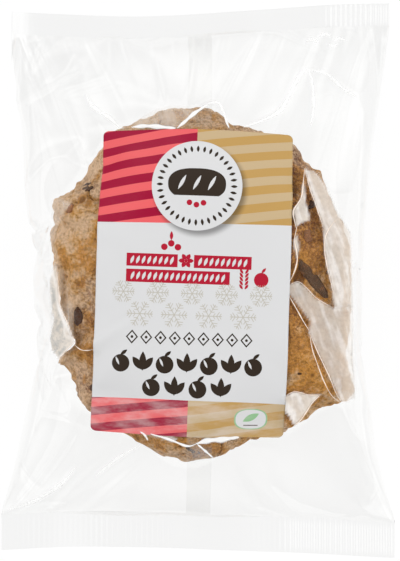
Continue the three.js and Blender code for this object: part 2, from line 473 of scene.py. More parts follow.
def seal_height(flat, end):
    """Height of a sealed end at a distance from the bag's middle line."""
    share = flat / SEAL_SPAN
    height = SEAL_Z + SEAL_WAVE * np.cos(share * SEAL_WAVE_RATE - end) - SEAL_SAG * share**2
    rise, length = RIPPLES[end]
    ripple = rise * np.sin(flat / length)
    if end > 0:
        return height + SEAL_CURL * hump(flat, *CURL_AT) + ripple * hump(flat, *RIPPLES_AT)
    return height + ripple


def seal_points(bag, end, flat, inset):
    """Points (3, n) of a sealed end at distances across the flat film, inset from its cut edge."""
    fine = np.linspace(-bag.flat_width / 2, bag.flat_width / 2, SEAL_SAMPLES)
    height = seal_height(fine, end)
    forward = np.sqrt(np.maximum(1 - np.gradient(height, fine) ** 2, 0.05))
    run = np.concatenate([[0], np.cumsum((forward[1:] + forward[:-1]) / 2)])
    left = bag.left(end * SEAL_LEVEL)
    right = bag.right(end * SEAL_LEVEL)
    x = np.interp(flat, fine, left + (right - left) * run / run[-1])
    y = bag.end(end, x) - end * inset
    return np.stack([x, y, np.interp(flat, fine, height)]).astype(np.float32)


def pull(start, finish, rest):
    """Moves pairs of points towards their rest distance, more gently where they are too near."""
    between = finish - start
    length = np.sqrt((between * between).sum(0)) + 1e-6
    share = (length - rest) / length * 0.5
    share *= np.where(share > 0, 1.0, PUSH_BACK)
    between *= share
    start += between
    finish -= between


def halfway_bulge(points, step, axis):
    """How far each point lies from the middle of its neighbours, step apart."""
    if axis == 2:
        return (np.roll(points, step, 2) + np.roll(points, -step, 2)) / 2 - points
    bulge = np.zeros_like(points)
    bulge[:, step:-step] = (points[:, 2 * step :] + points[:, : -2 * step]) / 2 - points[:, step:-step]
    return bulge


class FilmTube:
    """The bag's film as a tube of points, settled round the loaf by many small moves.

    Points are an array (3, rows, columns). Rows run along the bag. Columns run round it,
    over the top sheet from left to right and back under the bottom one.
    """

    def __init__(self, bag, loaf, label):
        self.bag = bag
        self.loaf = loaf
        self.label = label
        self.across = COARSE_ACROSS
        self.along = COARSE_ALONG
        self.measure()
        rise = np.linspace(0, 1, self.along + 1)[:, None]
        share = self.flat / bag.flat_width + 0.5
        y = self.low[1] + (self.high[1] - self.low[1]) * rise
        x = bag.left(y) + (bag.right(y) - bag.left(y)) * share
        swell = FILM_SWELL * np.sin(np.pi * rise) * np.sin(np.pi * share)
        z = self.low[2] + (self.high[2] - self.low[2]) * rise + np.where(self.is_top, swell, -swell / 2)
        self.points = np.stack([x, y, z]).astype(np.float32)
        rough = np.random.default_rng(FILM_SEED).normal(0, FILM_ROUGH, self.points[:, 1:-1].shape)
        self.points[:, 1:-1] += rough.astype(np.float32)
        self.before = self.points.copy()

    def measure(self):
        """Rest lengths and flat places of the grid, for its present fineness."""
        width = self.bag.flat_width
        columns = 2 * self.across
        place = np.arange(columns) / columns * 2 * width
        self.is_top = place <= width
        self.flat = np.where(self.is_top, place - width / 2, 1.5 * width - place)
        from_side = np.where(self.is_top, 1, -1) * (width / 2 - np.abs(self.flat))
        top_share = np.clip(0.5 + from_side / SIDE_BLEND, 0, 1)
        self.pitch_round = 2 * width / columns
        lengths = BOTTOM_LENGTH + (TOP_LENGTH - BOTTOM_LENGTH) * top_share
        self.pitch_along = (lengths / self.along).astype(np.float32)
        self.diagonal = np.sqrt(self.pitch_round**2 + self.pitch_along**2).astype(np.float32)
        self.low = seal_points(self.bag, -1, self.flat, self.bag.bottom_seal)
        self.high = seal_points(self.bag, 1, self.flat, self.bag.top_seal)
        rows = np.linspace(-0.5, 0.5, self.along + 1)[:, None] * TOP_LENGTH
        aside, up = self.label.own_place(self.flat[None], rows)
        under = (np.abs(aside) < self.label.width / 2) & (np.abs(up) < self.label.length / 2 + 1)
        self.under_label = (under & self.is_top).astype(np.float32)

    def refine(self):
        """Doubles the grid both ways."""
        ring = np.concatenate([self.points, self.points[:, :, :1]], 2)
        finer = np.empty((3, self.along + 1, 4 * self.across), np.float32)
        finer[:, :, ::2] = ring[:, :, :-1]
        finer[:, :, 1::2] = (ring[:, :, :-1] + ring[:, :, 1:]) / 2
        self.points = np.empty((3, 2 * self.along + 1, finer.shape[2]), np.float32)
        self.points[:, ::2] = finer
        self.points[:, 1::2] = (finer[:, :-1] + finer[:, 1:]) / 2
        self.across *= 2
        self.along *= 2
        self.measure()
        self.before = self.points.copy()

    def hold_lengths(self):
        """Pulls every stretched thread of the film back to its length, round, along and across."""
        points = self.points
        pairs = points.reshape(3, self.along + 1, self.across, 2)
        pull(pairs[..., 0], pairs[..., 1], self.pitch_round)
        turned = np.roll(points, -1, 2)
        pairs = turned.reshape(3, self.along + 1, self.across, 2)
        pull(pairs[..., 0], pairs[..., 1], self.pitch_round)
        points[:] = np.roll(turned, 1, 2)
        for offset in (0, 1):
            count = (self.along + 1 - offset) // 2
            near = points[:, offset : offset + 2 * count : 2]
            far = points[:, offset + 1 : offset + 2 * count : 2]
            pull(near, far, self.pitch_along)
            for shift in (-1, 1):
                moved = np.roll(far, shift, 2)
                pull(near, moved, self.diagonal)
                far[:] = np.roll(moved, -shift, 2)

    def stiffen(self, bending):
        """Smooths sharp bends a little, and holds the film under the label straight."""
        points = self.points
        bulge = halfway_bulge(points, 1, 2)
        points += bending * (bulge - (np.roll(bulge, 1, 2) + np.roll(bulge, -1, 2)) / 2)
        bulge = halfway_bulge(points, 1, 1)
        points += bending * bulge
        points[:, 1:-1] -= bending / 2 * (bulge[:, 2:] + bulge[:, :-2])
        for parts in LABEL_SPANS:
            for axis in (2, 1):
                points += LABEL_HOLD * halfway_bulge(points, self.across // parts, axis) * self.under_label

    def keep_out(self, grown):
        """Keeps the film out of the loaf, the surface below, its other sheet and the bag's edges."""
        points = self.points
        self.loaf.push_out(points, FILM_OFF_CRUST, grown)
        top = points[2, :, 1 : self.across]
        under = points[2, :, : self.across : -1]
        overlap = np.minimum(top - under - FILM_APART, 0) / 2
        top -= overlap
        under += overlap
        np.maximum(points[2], LOWEST_FILM, out=points[2])
        np.clip(points[0], self.bag.left(points[1]), self.bag.right(points[1]), out=points[0])
        points[:, 0] = self.low
        points[:, -1] = self.high

    def normals(self):
        normals = upright_to(self.points)
        return normals / (np.sqrt((normals**2).sum(0)) + 1e-6)

    def settle(self, steps, grow_from, pressure, bending, lift):
        """Lets the film fall, with a little air in the bag, while the loaf grows to its height."""
        for step in range(steps):
            grown = grow_from + (1 - grow_from) * min(1, (step + 1) / (steps * FULL_GROWN))
            speed = np.clip((self.points - self.before) * DRAG, -TOP_SPEED, TOP_SPEED)
            self.before = self.points.copy()
            self.points += speed + self.normals() * pressure
            self.points[2] -= pressure
            for _ in range(PASSES):
                self.hold_lengths()
                self.stiffen(bending)
                if lift is not None:
                    lift.hold_up(self.points[:, 1:-1, : self.across + 1])
                self.keep_out(grown)


class FoldLift:
    """Holds the top sheet up along the folds, each point no lower than the fold over it."""

    CELL = 0.5  # the heights are kept on a flat map of cells this wide
    HALF_WIDE = 95
    HALF_LONG = 130
    NOWHERE = -99

    def __init__(self, tube, width, share):
        cells = (int(2 * self.HALF_LONG / self.CELL), int(2 * self.HALF_WIDE / self.CELL))
        self.heights = np.full(cells, self.NOWHERE, np.float32)
        top = tube.points[:, :, : tube.across + 1].reshape(3, -1)
        reach = math.ceil(width / self.CELL)
        disc = [
            (dj, di)
            for dj in range(-reach, reach + 1)
            for di in range(-reach, reach + 1)
            if math.hypot(di, dj) * self.CELL <= width + 0.01
        ]
        for height, line in FOLDS:
            x, y, run = points_along(line, 0.7)
            nearest = ((top[0] - x[:, None]) ** 2 + (top[1] - y[:, None]) ** 2).argmin(1)
            base = smoothed(top[2][nearest], 4)
            rows, columns = self.cells(x, y)
            for row, column, z in zip(rows, columns, base + height * share * tapered(run, *FOLD_TAPER)):
                for dj, di in disc:
                    at = (row + dj, column + di)
                    self.heights[at] = max(self.heights[at], z)

    def cells(self, x, y):
        rows = ((y + self.HALF_LONG) / self.CELL).astype(np.int32)
        columns = ((x + self.HALF_WIDE) / self.CELL).astype(np.int32)
        high, wide = self.heights.shape
        return np.clip(rows, 0, high - 1), np.clip(columns, 0, wide - 1)

    def hold_up(self, sheet):
        np.maximum(sheet[2], self.heights[self.cells(sheet[0], sheet[1])], out=sheet[2])


# Folds, facets and fruit are placed on a plan: the pack as it is seen from above its middle. What
# stands higher lies nearer to the plan's middle than it looks.
PLAN_MIDDLE = VIEW_SHIFT / MM


def plan_share(z):
    """How much nearer to the plan's middle a point at a height lies than it looks."""
    return 1 - (z * MM - VIEW_Z) / VIEW_DISTANCE


def on_plan(x, y, z):
    """Where a point is seen on the plan."""
    return PLAN_MIDDLE + (x - PLAN_MIDDLE) / plan_share(z), y / plan_share(z)


def off_plan(x, y, z):
    """Where a place on the plan lies at a height."""
    return PLAN_MIDDLE + (x - PLAN_MIDDLE) * plan_share(z), y * plan_share(z)


def tent_line(line):
    """The points of a tent's line, moved off the plan."""
    x, y, z = np.array(line, float).T
    return np.column_stack([*off_plan(x, y, z), z])


# Where the film stands off the crust in flat facets: lines of points along each crease, from the
# inner foot outwards. The film runs straight from each line to the next.
TENTS = [
    [  # beside the label, from the upper right of the loaf down to its middle
        [(46, 53, 22), (46.5, 50, 31), (47, 42, 33.5), (50, 30, 34), (47, 20, 36.5), (46, 5, 37),
         (52, -11, 35)],
        [(47.5, 56, 21), (48, 50.5, 33.5), (50, 44, 34), (54, 30, 35), (56.5, 20, 36), (58, 5, 36),
         (61.5, -12, 33.5)],
        [(49.5, 56, 20), (50, 50.5, 31), (56.5, 43.5, 29), (62.5, 31, 28.5), (69, 20, 27.5),
         (70, 5, 27), (70, -12, 26.5)],
        [(51, 58, 12), (51.5, 54, 20), (60, 47, 16), (67, 33, 14), (73, 21, 12), (74, 4.5, 12),
         (74, -12, 12)],
    ],
    [  # a narrow one along the label's edge
        [(46.5, 50, 24), (45.5, 37, 33), (42.5, 31, 35), (43, 24, 35.5), (42.5, 18, 36),
         (42, 2, 37)],
        [(48, 50.5, 27), (46.5, 37, 35), (43, 31, 37.5), (44, 24, 37.5), (43.5, 18, 38),
         (42.5, 2, 38.5)],
        [(48.5, 50.5, 25), (48.5, 37, 33.5), (50, 29, 33), (46.5, 24, 36), (45, 18, 37),
         (44, 2, 37)],
    ],
    [  # the large one at the lower right
        [(40.5, -7, 37.5), (45, -14, 37), (49.5, -20, 35), (48.5, -24, 35), (52, -33, 34),
         (57, -44, 30), (61, -52, 24)],
        [(41.5, -5, 39.5), (46.5, -13, 39), (51, -18.5, 37.5), (50, -24, 37.5), (54, -32.5, 36),
         (59, -43, 32.5), (63, -52.5, 26)],
        [(49, -3, 36), (57.5, -11, 33.5), (69.5, -15, 27), (70, -24, 26.5), (70.5, -32.5, 26.5),
         (71, -43, 25.5), (69, -52, 23.5)],
        [(51, -1.5, 34), (60, -9, 31), (74, -14, 12), (74, -24, 12), (74.5, -32.5, 12),
         (75, -43, 12), (73, -57, 8)],
    ],
    [  # below it, beside the label's lower corner
        [(37, -51, 33), (38, -60, 27), (38.5, -67, 24), (39, -74, 12)],
        [(39, -51.5, 35), (39.5, -60, 34.5), (40, -67, 33.5), (40.5, -74, 14)],
        [(52, -52, 28), (50, -57.5, 28.5), (45, -65.5, 30.5), (44, -73, 14)],
        [(55, -51, 24), (54, -60, 16), (49, -69, 15), (46, -75, 11)],
    ],
    [  # over the hollow at the loaf's left
        [(-57, 3, 28), (-57, -12, 29.5), (-54, -28, 27), (-58, -38, 22)],
        [(-60.5, 3, 28), (-60.5, -12, 28), (-56.5, -27.5, 27.5), (-61, -37, 21)],
        [(-66.5, 2, 22), (-66.5, -10, 21), (-66, -28, 20), (-64, -38, 17)],
        [(-70, 3, 9), (-71, -12, 9), (-71, -29, 9), (-68, -41, 9)],
    ],
]
TENT_SLACK = 0.01  # how far a facet reaches past its own edges, so that none leaves a gap


def raise_tent(sheet, tent):
    """Raises a sheet of points to the straight facets between the lines of a tent."""
    x, y = sheet[0], sheet[1]
    lines = [tent_line(line) for line in tent]
    for inner, outer in zip(lines, lines[1:]):
        for k in range(len(inner) - 1):
            for a, b, c in ((inner[k], inner[k + 1], outer[k]), (outer[k], inner[k + 1], outer[k + 1])):
                area = (b[0] - a[0]) * (c[1] - a[1]) - (c[0] - a[0]) * (b[1] - a[1])
                of_b = ((x - a[0]) * (c[1] - a[1]) - (c[0] - a[0]) * (y - a[1])) / area
                of_c = ((b[0] - a[0]) * (y - a[1]) - (x - a[0]) * (b[1] - a[1])) / area
                inside = (of_b > -TENT_SLACK) & (of_c > -TENT_SLACK) & (of_b + of_c < 1 + TENT_SLACK)
                height = a[2] + of_b * (b[2] - a[2]) + of_c * (c[2] - a[2])
                sheet[2][inside] = np.maximum(sheet[2][inside], height[inside])


# Where the film is painted milky: a painted reflection of the lamps on film that lies doubled or crumpled.
# Share, softness of its edge, and outline.
REFLECTION_VEILS = [
    # the facet at the upper right
    (0.78, 0.4, [
        (48, 50.5), (50.5, 41), (52.5, 35.5), (56.5, 23.5), (57, 13), (58, 6), (60, -1),
        (61.5, -14), (69.5, -14), (69, 14), (68.5, 21.5), (65.5, 26), (62.5, 31), (57, 43.5),
        (53, 48.5),
    ]),
    # the one at the lower right
    (0.64, 0.5, [
        (41, -6), (41, -2), (45, -0.5), (48.5, -3), (53, -8), (61, -12.5), (69.5, -12.5),
        (69.5, -32), (70.5, -48), (70.5, -52.5), (67, -54.5), (64.5, -54.5), (59, -43),
        (50, -23.5), (50.5, -18.5), (46.5, -13),
    ]),
    # the narrow one along the label
    (0.88, 0.4, [
        (47.5, 46.5), (46.5, 37.5), (43, 31), (44.5, 24), (46.5, 26), (50, 27), (50, 29.5),
        (48.5, 35),
    ]),
    (0.75, 0.4, [(44.5, 20.5), (45.5, 17), (45.5, 13.5), (44.5, 10), (43.5, 14), (43, 18)]),
    # the one below, by the label's corner
    (0.9, 0.4, [
        (38, -53), (43.5, -50), (50, -51.5), (55, -51.5), (51.5, -55), (46.5, -62), (43.5, -65.5),
        (41, -61), (38, -58.5),
    ]),
    (0.34, 0.6, [
        (-29.5, 70), (-24.5, 74), (-18, 77), (-12.5, 78.5), (-5, 78), (-1.5, 77), (-7, 72),
        (-10.5, 68),
    ]),
    # the flap at the left
    (0.92, 0.4, [
        (-64, 8.5), (-63, 0), (-62, -12), (-59, -18.5), (-55.5, -27.5), (-62.5, -35),
        (-65.5, -31.5), (-66.5, -26), (-64.5, -17), (-66, -12), (-66.5, 0),
    ]),
    (0.30, 0.8, [(-65.5, 36), (-62, 37.5), (-57, 34.5), (-60.5, 30), (-63.5, 24), (-65.5, 28)]),
    (0.25, 1.0, [(-58, -9), (-56.5, -12), (-56, -27), (-57.5, -20), (-59, -13)]),
    (0.14, 0.5, [(-4.5, -74), (0.5, -73), (7, -79.5), (-2, -80)]),
    (0.60, 0.5, [
        (-25.5, -68), (-24, -69.5), (-17.5, -70.5), (-11.5, -73), (-9.5, -71.5), (-13, -69),
    ]),
]
REFLECTION_VEIL_FOOT = (4, 11)  # heights between which the veils fade out towards the table


def inside_outline(x, y, outline):
    """Distance of points from a closed outline, positive inside it."""
    nearest = np.full(x.shape, 1e9)
    crossings = np.zeros(x.shape, int)
    for (ax, ay), (bx, by) in zip(outline, outline[1:] + outline[:1]):
        along = ((x - ax) * (bx - ax) + (y - ay) * (by - ay)) / ((bx - ax) ** 2 + (by - ay) ** 2)
        along = np.clip(along, 0, 1)
        nearest = np.minimum(nearest, np.hypot(x - ax - along * (bx - ax), y - ay - along * (by - ay)))
        if ay != by:
            reaches = (ay > y) != (by > y)
            crossings += reaches & (x < ax + (y - ay) / (by - ay) * (bx - ax))
    return np.where(crossings % 2, nearest, -nearest)


def reflection_veiling(points):
    """How much painted reflection makes the film milky at each point of the tube (3, rows, columns)."""
    reflection_veil = np.zeros(points.shape[1:])
    top = points.shape[2] // 2 + 1
    z = points[2, :, :top]
    x, y = on_plan(points[0, :, :top], points[1, :, :top], z)
    for share, softness, outline in REFLECTION_VEILS:
        inside = smooth_step(inside_outline(x, y, outline), -softness, softness)
        reflection_veil[:, :top] = np.maximum(reflection_veil[:, :top], share * inside * smooth_step(z, *REFLECTION_VEIL_FOOT))
    return reflection_veil


def clinging(points, loaf):
    """How close the film lies to the crust at each point of the tube: 1 over the loaf, 0 beside it."""
    x = points[0] - LOAF_CENTRE[0]
    y = points[1] - LOAF_CENTRE[1]
    return smooth_step(loaf.radius(np.arctan2(y, x)) - np.hypot(x, y), -0.5, 2.5)


def soften(sheet):
    """Rounds the sheet's sharpest corners a little."""
    near = (sheet[2, 1:-1, :-2] + sheet[2, 1:-1, 2:] + sheet[2, :-2, 1:-1] + sheet[2, 2:, 1:-1]) / 4
    sheet[2, 1:-1, 1:-1] += 0.5 * (near - sheet[2, 1:-1, 1:-1])


FOLD_CREASE = 0.2  # height of the crease on a fold as a share of the fold's, and its width
FOLD_CREASE_WIDTH = 4
CREASE_TAPER = (0.2, 0.8)  # the same as FOLD_TAPER for a crease
CREASE_FADE = 6  # rows from a seal within which every crease fades out
SMALL_CREASES = 90
CREASE_SEED = 11
FROM_SEAL = 0.85  # share of the small creases that start at a seal
CREASE_LENGTHS = (6, 24)
CREASE_HEIGHTS = (0.05, 0.2)
CREASE_WIDTHS = (1.8, 3.5)


def raise_crease(sheet, height, width, line):
    """Raises a sharp ridge of that height along a line of a sheet of points."""
    x, y, run = points_along(line, 0.5)
    near = np.full(sheet.shape[1:], True)
    for place, line_place in ((sheet[0], x), (sheet[1], y)):
        near &= (place > line_place.min() - width) & (place < line_place.max() + width)
    apart = np.hypot(sheet[0][near][:, None] - x, sheet[1][near][:, None] - y)
    closest = apart.argmin(1)
    taper = tapered(run[closest], *CREASE_TAPER)
    rows = np.nonzero(near)[0]
    last = sheet.shape[1] - 1
    at_end = np.minimum(1, np.minimum(rows, last - rows) / CREASE_FADE)
    sheet[2][near] += height * taper * at_end * np.clip(1 - apart.min(1) / width, 0, 1) ** 2


def small_creases():
    """Small creases: most run out of the sealed ends, the others lie along the sides."""
    draw = np.random.default_rng(CREASE_SEED)
    for _ in range(SMALL_CREASES):
        end = 1 if draw.random() < 0.5 else -1
        length = draw.uniform(*CREASE_LENGTHS)
        if draw.random() < FROM_SEAL:
            x = draw.uniform(-84, 84)
            y = end * (107 - draw.exponential(7))
            lean = draw.normal(0, 0.35) - 0.4 * x / 90
            onward = np.array([lean, -end]) * length
        else:
            x = draw.choice([-1, 1]) * draw.uniform(68, 78)
            y = draw.uniform(-95, 100)
            onward = np.array([draw.normal(0, 0.5), 1]) * length
        bow = draw.normal(0, 0.12, 2) * length
        start = np.array([x, y])
        height = draw.uniform(*CREASE_HEIGHTS) * draw.choice([1, 1, -1])
        yield height, draw.uniform(*CREASE_WIDTHS), [start, start + onward / 2 + bow, start + onward]


def settled_film(bag, loaf, label):
    """The film tube at rest round the loaf, creased."""
    tube = FilmTube(bag, loaf, label)
    effort = 1
    for steps, grow_from, pressure, bending, fold in SETTLING:
        if fold:
            tube.refine()
        lift = FoldLift(tube, *fold) if fold else None
        tube.settle(int(steps * effort), grow_from, pressure, bending, lift)
    sheet = tube.points[:, :, : tube.across + 1]
    for height, line in FOLDS:
        raise_crease(sheet, height * FOLD_CREASE, FOLD_CREASE_WIDTH, line)
    for crease in small_creases():
        raise_crease(sheet, *crease)
    for tent in TENTS:
        raise_tent(sheet, tent)
    soften(sheet)
    return tube


# --------------------------------------------------------------- materials


class Field:
    """A number at every point of a surface, worked out by shader nodes."""

    def __init__(self, tree, socket):
        self.tree = tree
        self.socket = socket

    def math(self, operation, *inputs):
        node = self.tree.nodes.new("ShaderNodeMath")
        node.operation = operation
        for socket, value in zip(node.inputs, inputs):
            feed(self.tree, value, socket)
        return Field(self.tree, node.outputs[0])

    def __add__(self, other):
        return self.math("ADD", self, other)

    def __sub__(self, other):
        return self.math("SUBTRACT", self, other)

    def __rsub__(self, other):
        return self.math("SUBTRACT", other, self)

    def __mul__(self, other):
        return self.math("MULTIPLY", self, other)

    def __truediv__(self, other):
        return self.math("DIVIDE", self, other)

    def __abs__(self):
        return self.math("ABSOLUTE", self)

    def __pow__(self, power):
        return self.math("POWER", self, power)

    def __mod__(self, step):
        return self.math("FLOORED_MODULO", self, step)

    def __lt__(self, other):
        return self.math("LESS_THAN", self, other)

    def __gt__(self, other):
        return self.math("GREATER_THAN", self, other)

    def both(self, other):
        return self.math("MINIMUM", self, other)

    def either(self, other):
        return self.math("MAXIMUM", self, other)

    def ramp(self, low, high):
        """0 below low and 1 above high, eased between them. Low may be the larger."""
        node = self.tree.nodes.new("ShaderNodeMapRange")
        node.interpolation_type = "SMOOTHSTEP"
        swapped = low > high
        for name, value in (
            ("Value", self),
            ("From Min", min(low, high)),
            ("From Max", max(low, high)),
            ("To Min", float(swapped)),
            ("To Max", float(not swapped)),
        ):
            feed(self.tree, value, node.inputs[name])
        return Field(self.tree, node.outputs[0])


def feed(tree, value, socket):
    """Gives a socket a field, a colour or a plain number."""
    if isinstance(value, Field):
        tree.links.new(value.socket, socket)
    elif isinstance(value, (int, float)):
        socket.default_value = value
    else:
        socket.default_value = (*value, 1)


class Finish:
    """A material under construction."""

    def __init__(self, name):
        self.material = bpy.data.materials.new(name)
        self.material.use_nodes = True
        self.tree = self.material.node_tree
        self.tree.nodes.clear()
        self.output = self.add("ShaderNodeOutputMaterial")

    def add(self, kind, **inputs):
        """A node, with its sockets given by name, spaces written as underscores."""
        node = self.tree.nodes.new(kind)
        for name, value in inputs.items():
            feed(self.tree, value, node.inputs[name.replace("_", " ")])
        return node

    def place(self):
        """The point's place in metres."""
        return Field(self.tree, self.add("ShaderNodeTexCoord").outputs["Object"])

    def stretched(self, place, scale):
        node = self.add("ShaderNodeVectorMath")
        node.operation = "MULTIPLY"
        self.tree.links.new(place.socket, node.inputs[0])
        node.inputs[1].default_value = scale
        return Field(self.tree, node.outputs[0])

    def noise(self, place, size, detail=2.0, roughness=0.5):
        """Noise from 0 to 1 with bumps about size apart, in millimetres."""
        node = self.add(
            "ShaderNodeTexNoise", Vector=place, Scale=1 / (size * MM), Detail=detail, Roughness=roughness
        )
        return Field(self.tree, node.outputs["Fac"])

    def parts(self, place):
        """The three parts of a place."""
        node = self.add("ShaderNodeSeparateXYZ", Vector=place)
        return [Field(self.tree, socket) for socket in node.outputs]

    def stored(self, name):
        node = self.add("ShaderNodeAttribute")
        node.attribute_name = name
        return Field(self.tree, node.outputs["Fac"])

    def mix(self, share, colour, other):
        """colour where share is 0 and other where it is 1."""
        node = self.add("ShaderNodeMix")
        node.data_type = "RGBA"
        feed(self.tree, share, node.inputs[0])
        feed(self.tree, colour, node.inputs[6])
        feed(self.tree, other, node.inputs[7])
        return Field(self.tree, node.outputs[2])

    def bump(self, height, strength, distance):
        node = self.add("ShaderNodeBump", Height=height, Strength=strength, Distance=distance * MM)
        return Field(self.tree, node.outputs[0])

    def blend(self, share, first, second):
        """One shader where share is 0, the other where it is 1."""
        node = self.add("ShaderNodeMixShader", Fac=share)
        self.tree.links.new(first.outputs[0], node.inputs[1])
        self.tree.links.new(second.outputs[0], node.inputs[2])
        return node

    def surface(self, **inputs):
        """Ends the material in a Principled surface."""
        node = self.add("ShaderNodeBsdfPrincipled", **inputs)
        self.tree.links.new(node.outputs[0], self.output.inputs[0])
        return self.material


MILK_AND_REFLECTION = (0.68, 0.615, 0.545)  # painted reflection on film that lies doubled or crumpled, in its duller and brighter streaks
BRIGHT_MILK_AND_REFLECTION = (0.80, 0.765, 0.73)
LOOSE_MILK_SHADE = (0.40, 0.385, 0.355)  # greyer, as painted shade, where nothing lies close under it


def film_material(name, tint, roughness, streaks):
    """Clear film: see-through, with a gloss that grows towards its edges, and milky veils of painted
    reflection where they are marked.
    """
    finish = Finish(name)
    place = finish.place()
    streak = finish.noise(finish.stretched(place, (1.0, 0.35, 1.0)), size=7, detail=3)
    relief = finish.bump(streak, strength=streaks, distance=0.5)
    clear = finish.add("ShaderNodeBsdfTransparent", Color=tint)
    gloss = finish.add("ShaderNodeBsdfAnisotropic", Color=(1, 1, 1), Roughness=roughness, Normal=relief)
    facing = Field(finish.tree, finish.add("ShaderNodeLayerWeight", Blend=0.5).outputs["Facing"])
    sheen = finish.blend(facing**4 * 0.85 + (0.065 - finish.stored("cling") * 0.058), clear, gloss)
    aslant = finish.add("ShaderNodeVectorRotate", Vector=place, Angle=math.radians(-22))
    aslant.rotation_type = "Z_AXIS"
    along = finish.stretched(Field(finish.tree, aslant.outputs[0]), (1.0, 0.16, 1.0))
    cloud = finish.noise(place, size=3, detail=3, roughness=0.6).ramp(0.3, 0.7)
    # gleam: streaks of painted highlight in the veils. The veils are a painted reflection, with greyer
    # painted shade where they stand free of the crust.
    gleam = finish.noise(along, size=3.5, detail=2, roughness=0.5).ramp(0.40, 0.68)
    shade = finish.mix(gleam, MILK_AND_REFLECTION, BRIGHT_MILK_AND_REFLECTION)
    shade = finish.mix(finish.stored("cling").ramp(0.0, 0.4), finish.mix(cloud, LOOSE_MILK_SHADE, MILK_AND_REFLECTION), shade)
    painted_milk = finish.add("ShaderNodeBsdfDiffuse", Color=shade, Normal=relief)
    veiled = finish.blend(finish.stored("reflection_veil") * (cloud * 0.2 + gleam * 0.12 + 0.84), sheen, painted_milk)
    finish.tree.links.new(veiled.outputs[0], finish.output.inputs[0])
    return finish.material


def crust_material(settings):
    """Rough wholegrain crust: brown, paler and floury on its bumps, honey in its hollows, with painted
    shade darkening the deepest.
    """
    finish = Finish("crust")
    place = finish.place()
    broad = finish.noise(place, size=34, detail=2)
    patch = finish.noise(place, size=9, detail=4, roughness=0.6)
    grain = finish.noise(place, size=2.4, detail=5, roughness=0.7)
    speck = finish.noise(place, size=1.3, detail=3, roughness=0.6)
    side, end, height = finish.parts(place)
    dry = broad * 0.4 + patch * 0.6 - side * 0.7 + end * 0.4 - (height - 0.030) * 5.0
    dusty = (dry + grain * 0.4).ramp(0.66, 0.82)
    colour = finish.mix(dry.ramp(0.55, 0.45), settings.crust, settings.honey)
    colour = finish.mix(dusty * 0.7, colour, settings.pale)
    colour = finish.mix(patch.ramp(0.46, 0.33) * 0.3, colour, settings.baked_and_shade)
    colour = finish.mix(grain.ramp(0.50, 0.34) * (0.5 - dusty * 0.25), colour, settings.baked_and_shade)
    colour = finish.mix(speck.ramp(0.54, 0.34) * 0.3, colour, settings.baked_and_shade)
    colour = finish.mix(speck.ramp(0.52, 0.68) * (dusty * 0.4 + 0.15), colour, settings.pale)
    # Darker where toasted, and painted shadow beside the label's edges.
    crisp_and_shade = finish.stored("toast_and_shade") * (speck.ramp(0.60, 0.42) * 1.1 + 0.5)
    colour = finish.mix(crisp_and_shade, colour, settings.toasted_and_shaded)
    hollow = finish.stored("hollow")
    colour = finish.mix(hollow.ramp(0.1, 0.5) * 0.6, colour, settings.honey)
    # Painted shade in the deep hollows.
    colour = finish.mix(hollow.ramp(0.35, 0.95) * 0.9, colour, settings.baked_and_shade)
    relief = grain + speck * 0.5
    return finish.surface(
        Base_Color=colour,
        Roughness=grain * 0.2 + 0.6,
        Specular_IOR_Level=0.06,
        Normal=finish.bump(relief, strength=1.0, distance=3.0),
    )


def fruit_material(name, colour, pale, wrinkle):
    """Dried fruit: a dark, slightly sticky skin with fine wrinkles."""
    finish = Finish(name)
    place = finish.place()
    fold = finish.noise(finish.stretched(place, (1.0, 0.4, 1.0)), size=wrinkle, detail=3)
    bloom = finish.noise(place, size=2.5, detail=2).ramp(0.5, 0.75)
    seed = finish.noise(place, size=0.9, detail=3, roughness=0.7).ramp(0.48, 0.68)
    tone = finish.mix(finish.stored("shade") * 0.4 + (bloom + seed) * 0.2, colour, pale)
    return finish.surface(
        Base_Color=tone,
        Roughness=bloom * 0.3 + 0.5,
        Specular_IOR_Level=0.2,
        Normal=finish.bump(fold + seed * 0.5, strength=0.8, distance=0.9),
    )


# ----------------------------------------------------------- label's print


class Print:
    """Draws flat figures on the label. Places are millimetres from its middle, Y up."""

    def __init__(self, finish, settings):
        self.finish = finish
        self.settings = settings
        node = finish.add("ShaderNodeUVMap")
        node.uv_map = "print"
        across, up, _ = finish.parts(Field(finish.tree, node.outputs[0]))
        self.x = (across - 0.5) * (settings.width / MM)
        self.y = (up - 0.5) * (settings.length / MM)
        self.half = settings.length / MM / 2
        self.foot = BAND_BOTTOM - self.half  # where the lower band starts at the label's sides
        self.colour = settings.paper

    def ink(self, where, colour):
        self.colour = self.finish.mix(where, self.colour, colour)

    def around(self, x, y, turn=0):
        """Places seen from a point, turned by degrees anticlockwise."""
        return turned(self.x - x, self.y - y, turn)


def turned(x, y, degrees):
    if not degrees:
        return x, y
    cosine = math.cos(math.radians(degrees))
    sine = math.sin(math.radians(degrees))
    return x * cosine + y * sine, y * cosine - x * sine


def distance(x, y):
    return (x * x + y * y) ** 0.5


def disc(at, radius):
    return distance(*at) < radius


def box(at, width, height):
    return (abs(at[0]) < width / 2).both(abs(at[1]) < height / 2)


def leaf(at, width, length):
    """A pointed leaf that stands upright."""
    share = at[1] / (length / 2)
    return abs(at[0]) < (1 - share * share) * (width / 2)


def tiled(value, pitch, count):
    """Place in the nearest of count cells in a row about the middle, and a mask of that row."""
    offset = pitch / 2 if count % 2 else 0
    return (value + offset) % pitch - pitch / 2, abs(value) < pitch * count / 2


def every_other(value, pitch):
    """1 in every second cell of a row, 0 in the others."""
    return (value + pitch / 2) % (2 * pitch) < pitch


def fanned(at, count):
    """Place in the nearest of count sectors round a point: along it and aside."""
    node_angle = at[0].math("ARCTAN2", at[1], at[0])
    sector = 2 * math.pi / count
    angle = (node_angle + sector / 2) % sector - sector / 2
    away = distance(*at)
    return away * angle.math("COSINE", angle), away * angle.math("SINE", angle)


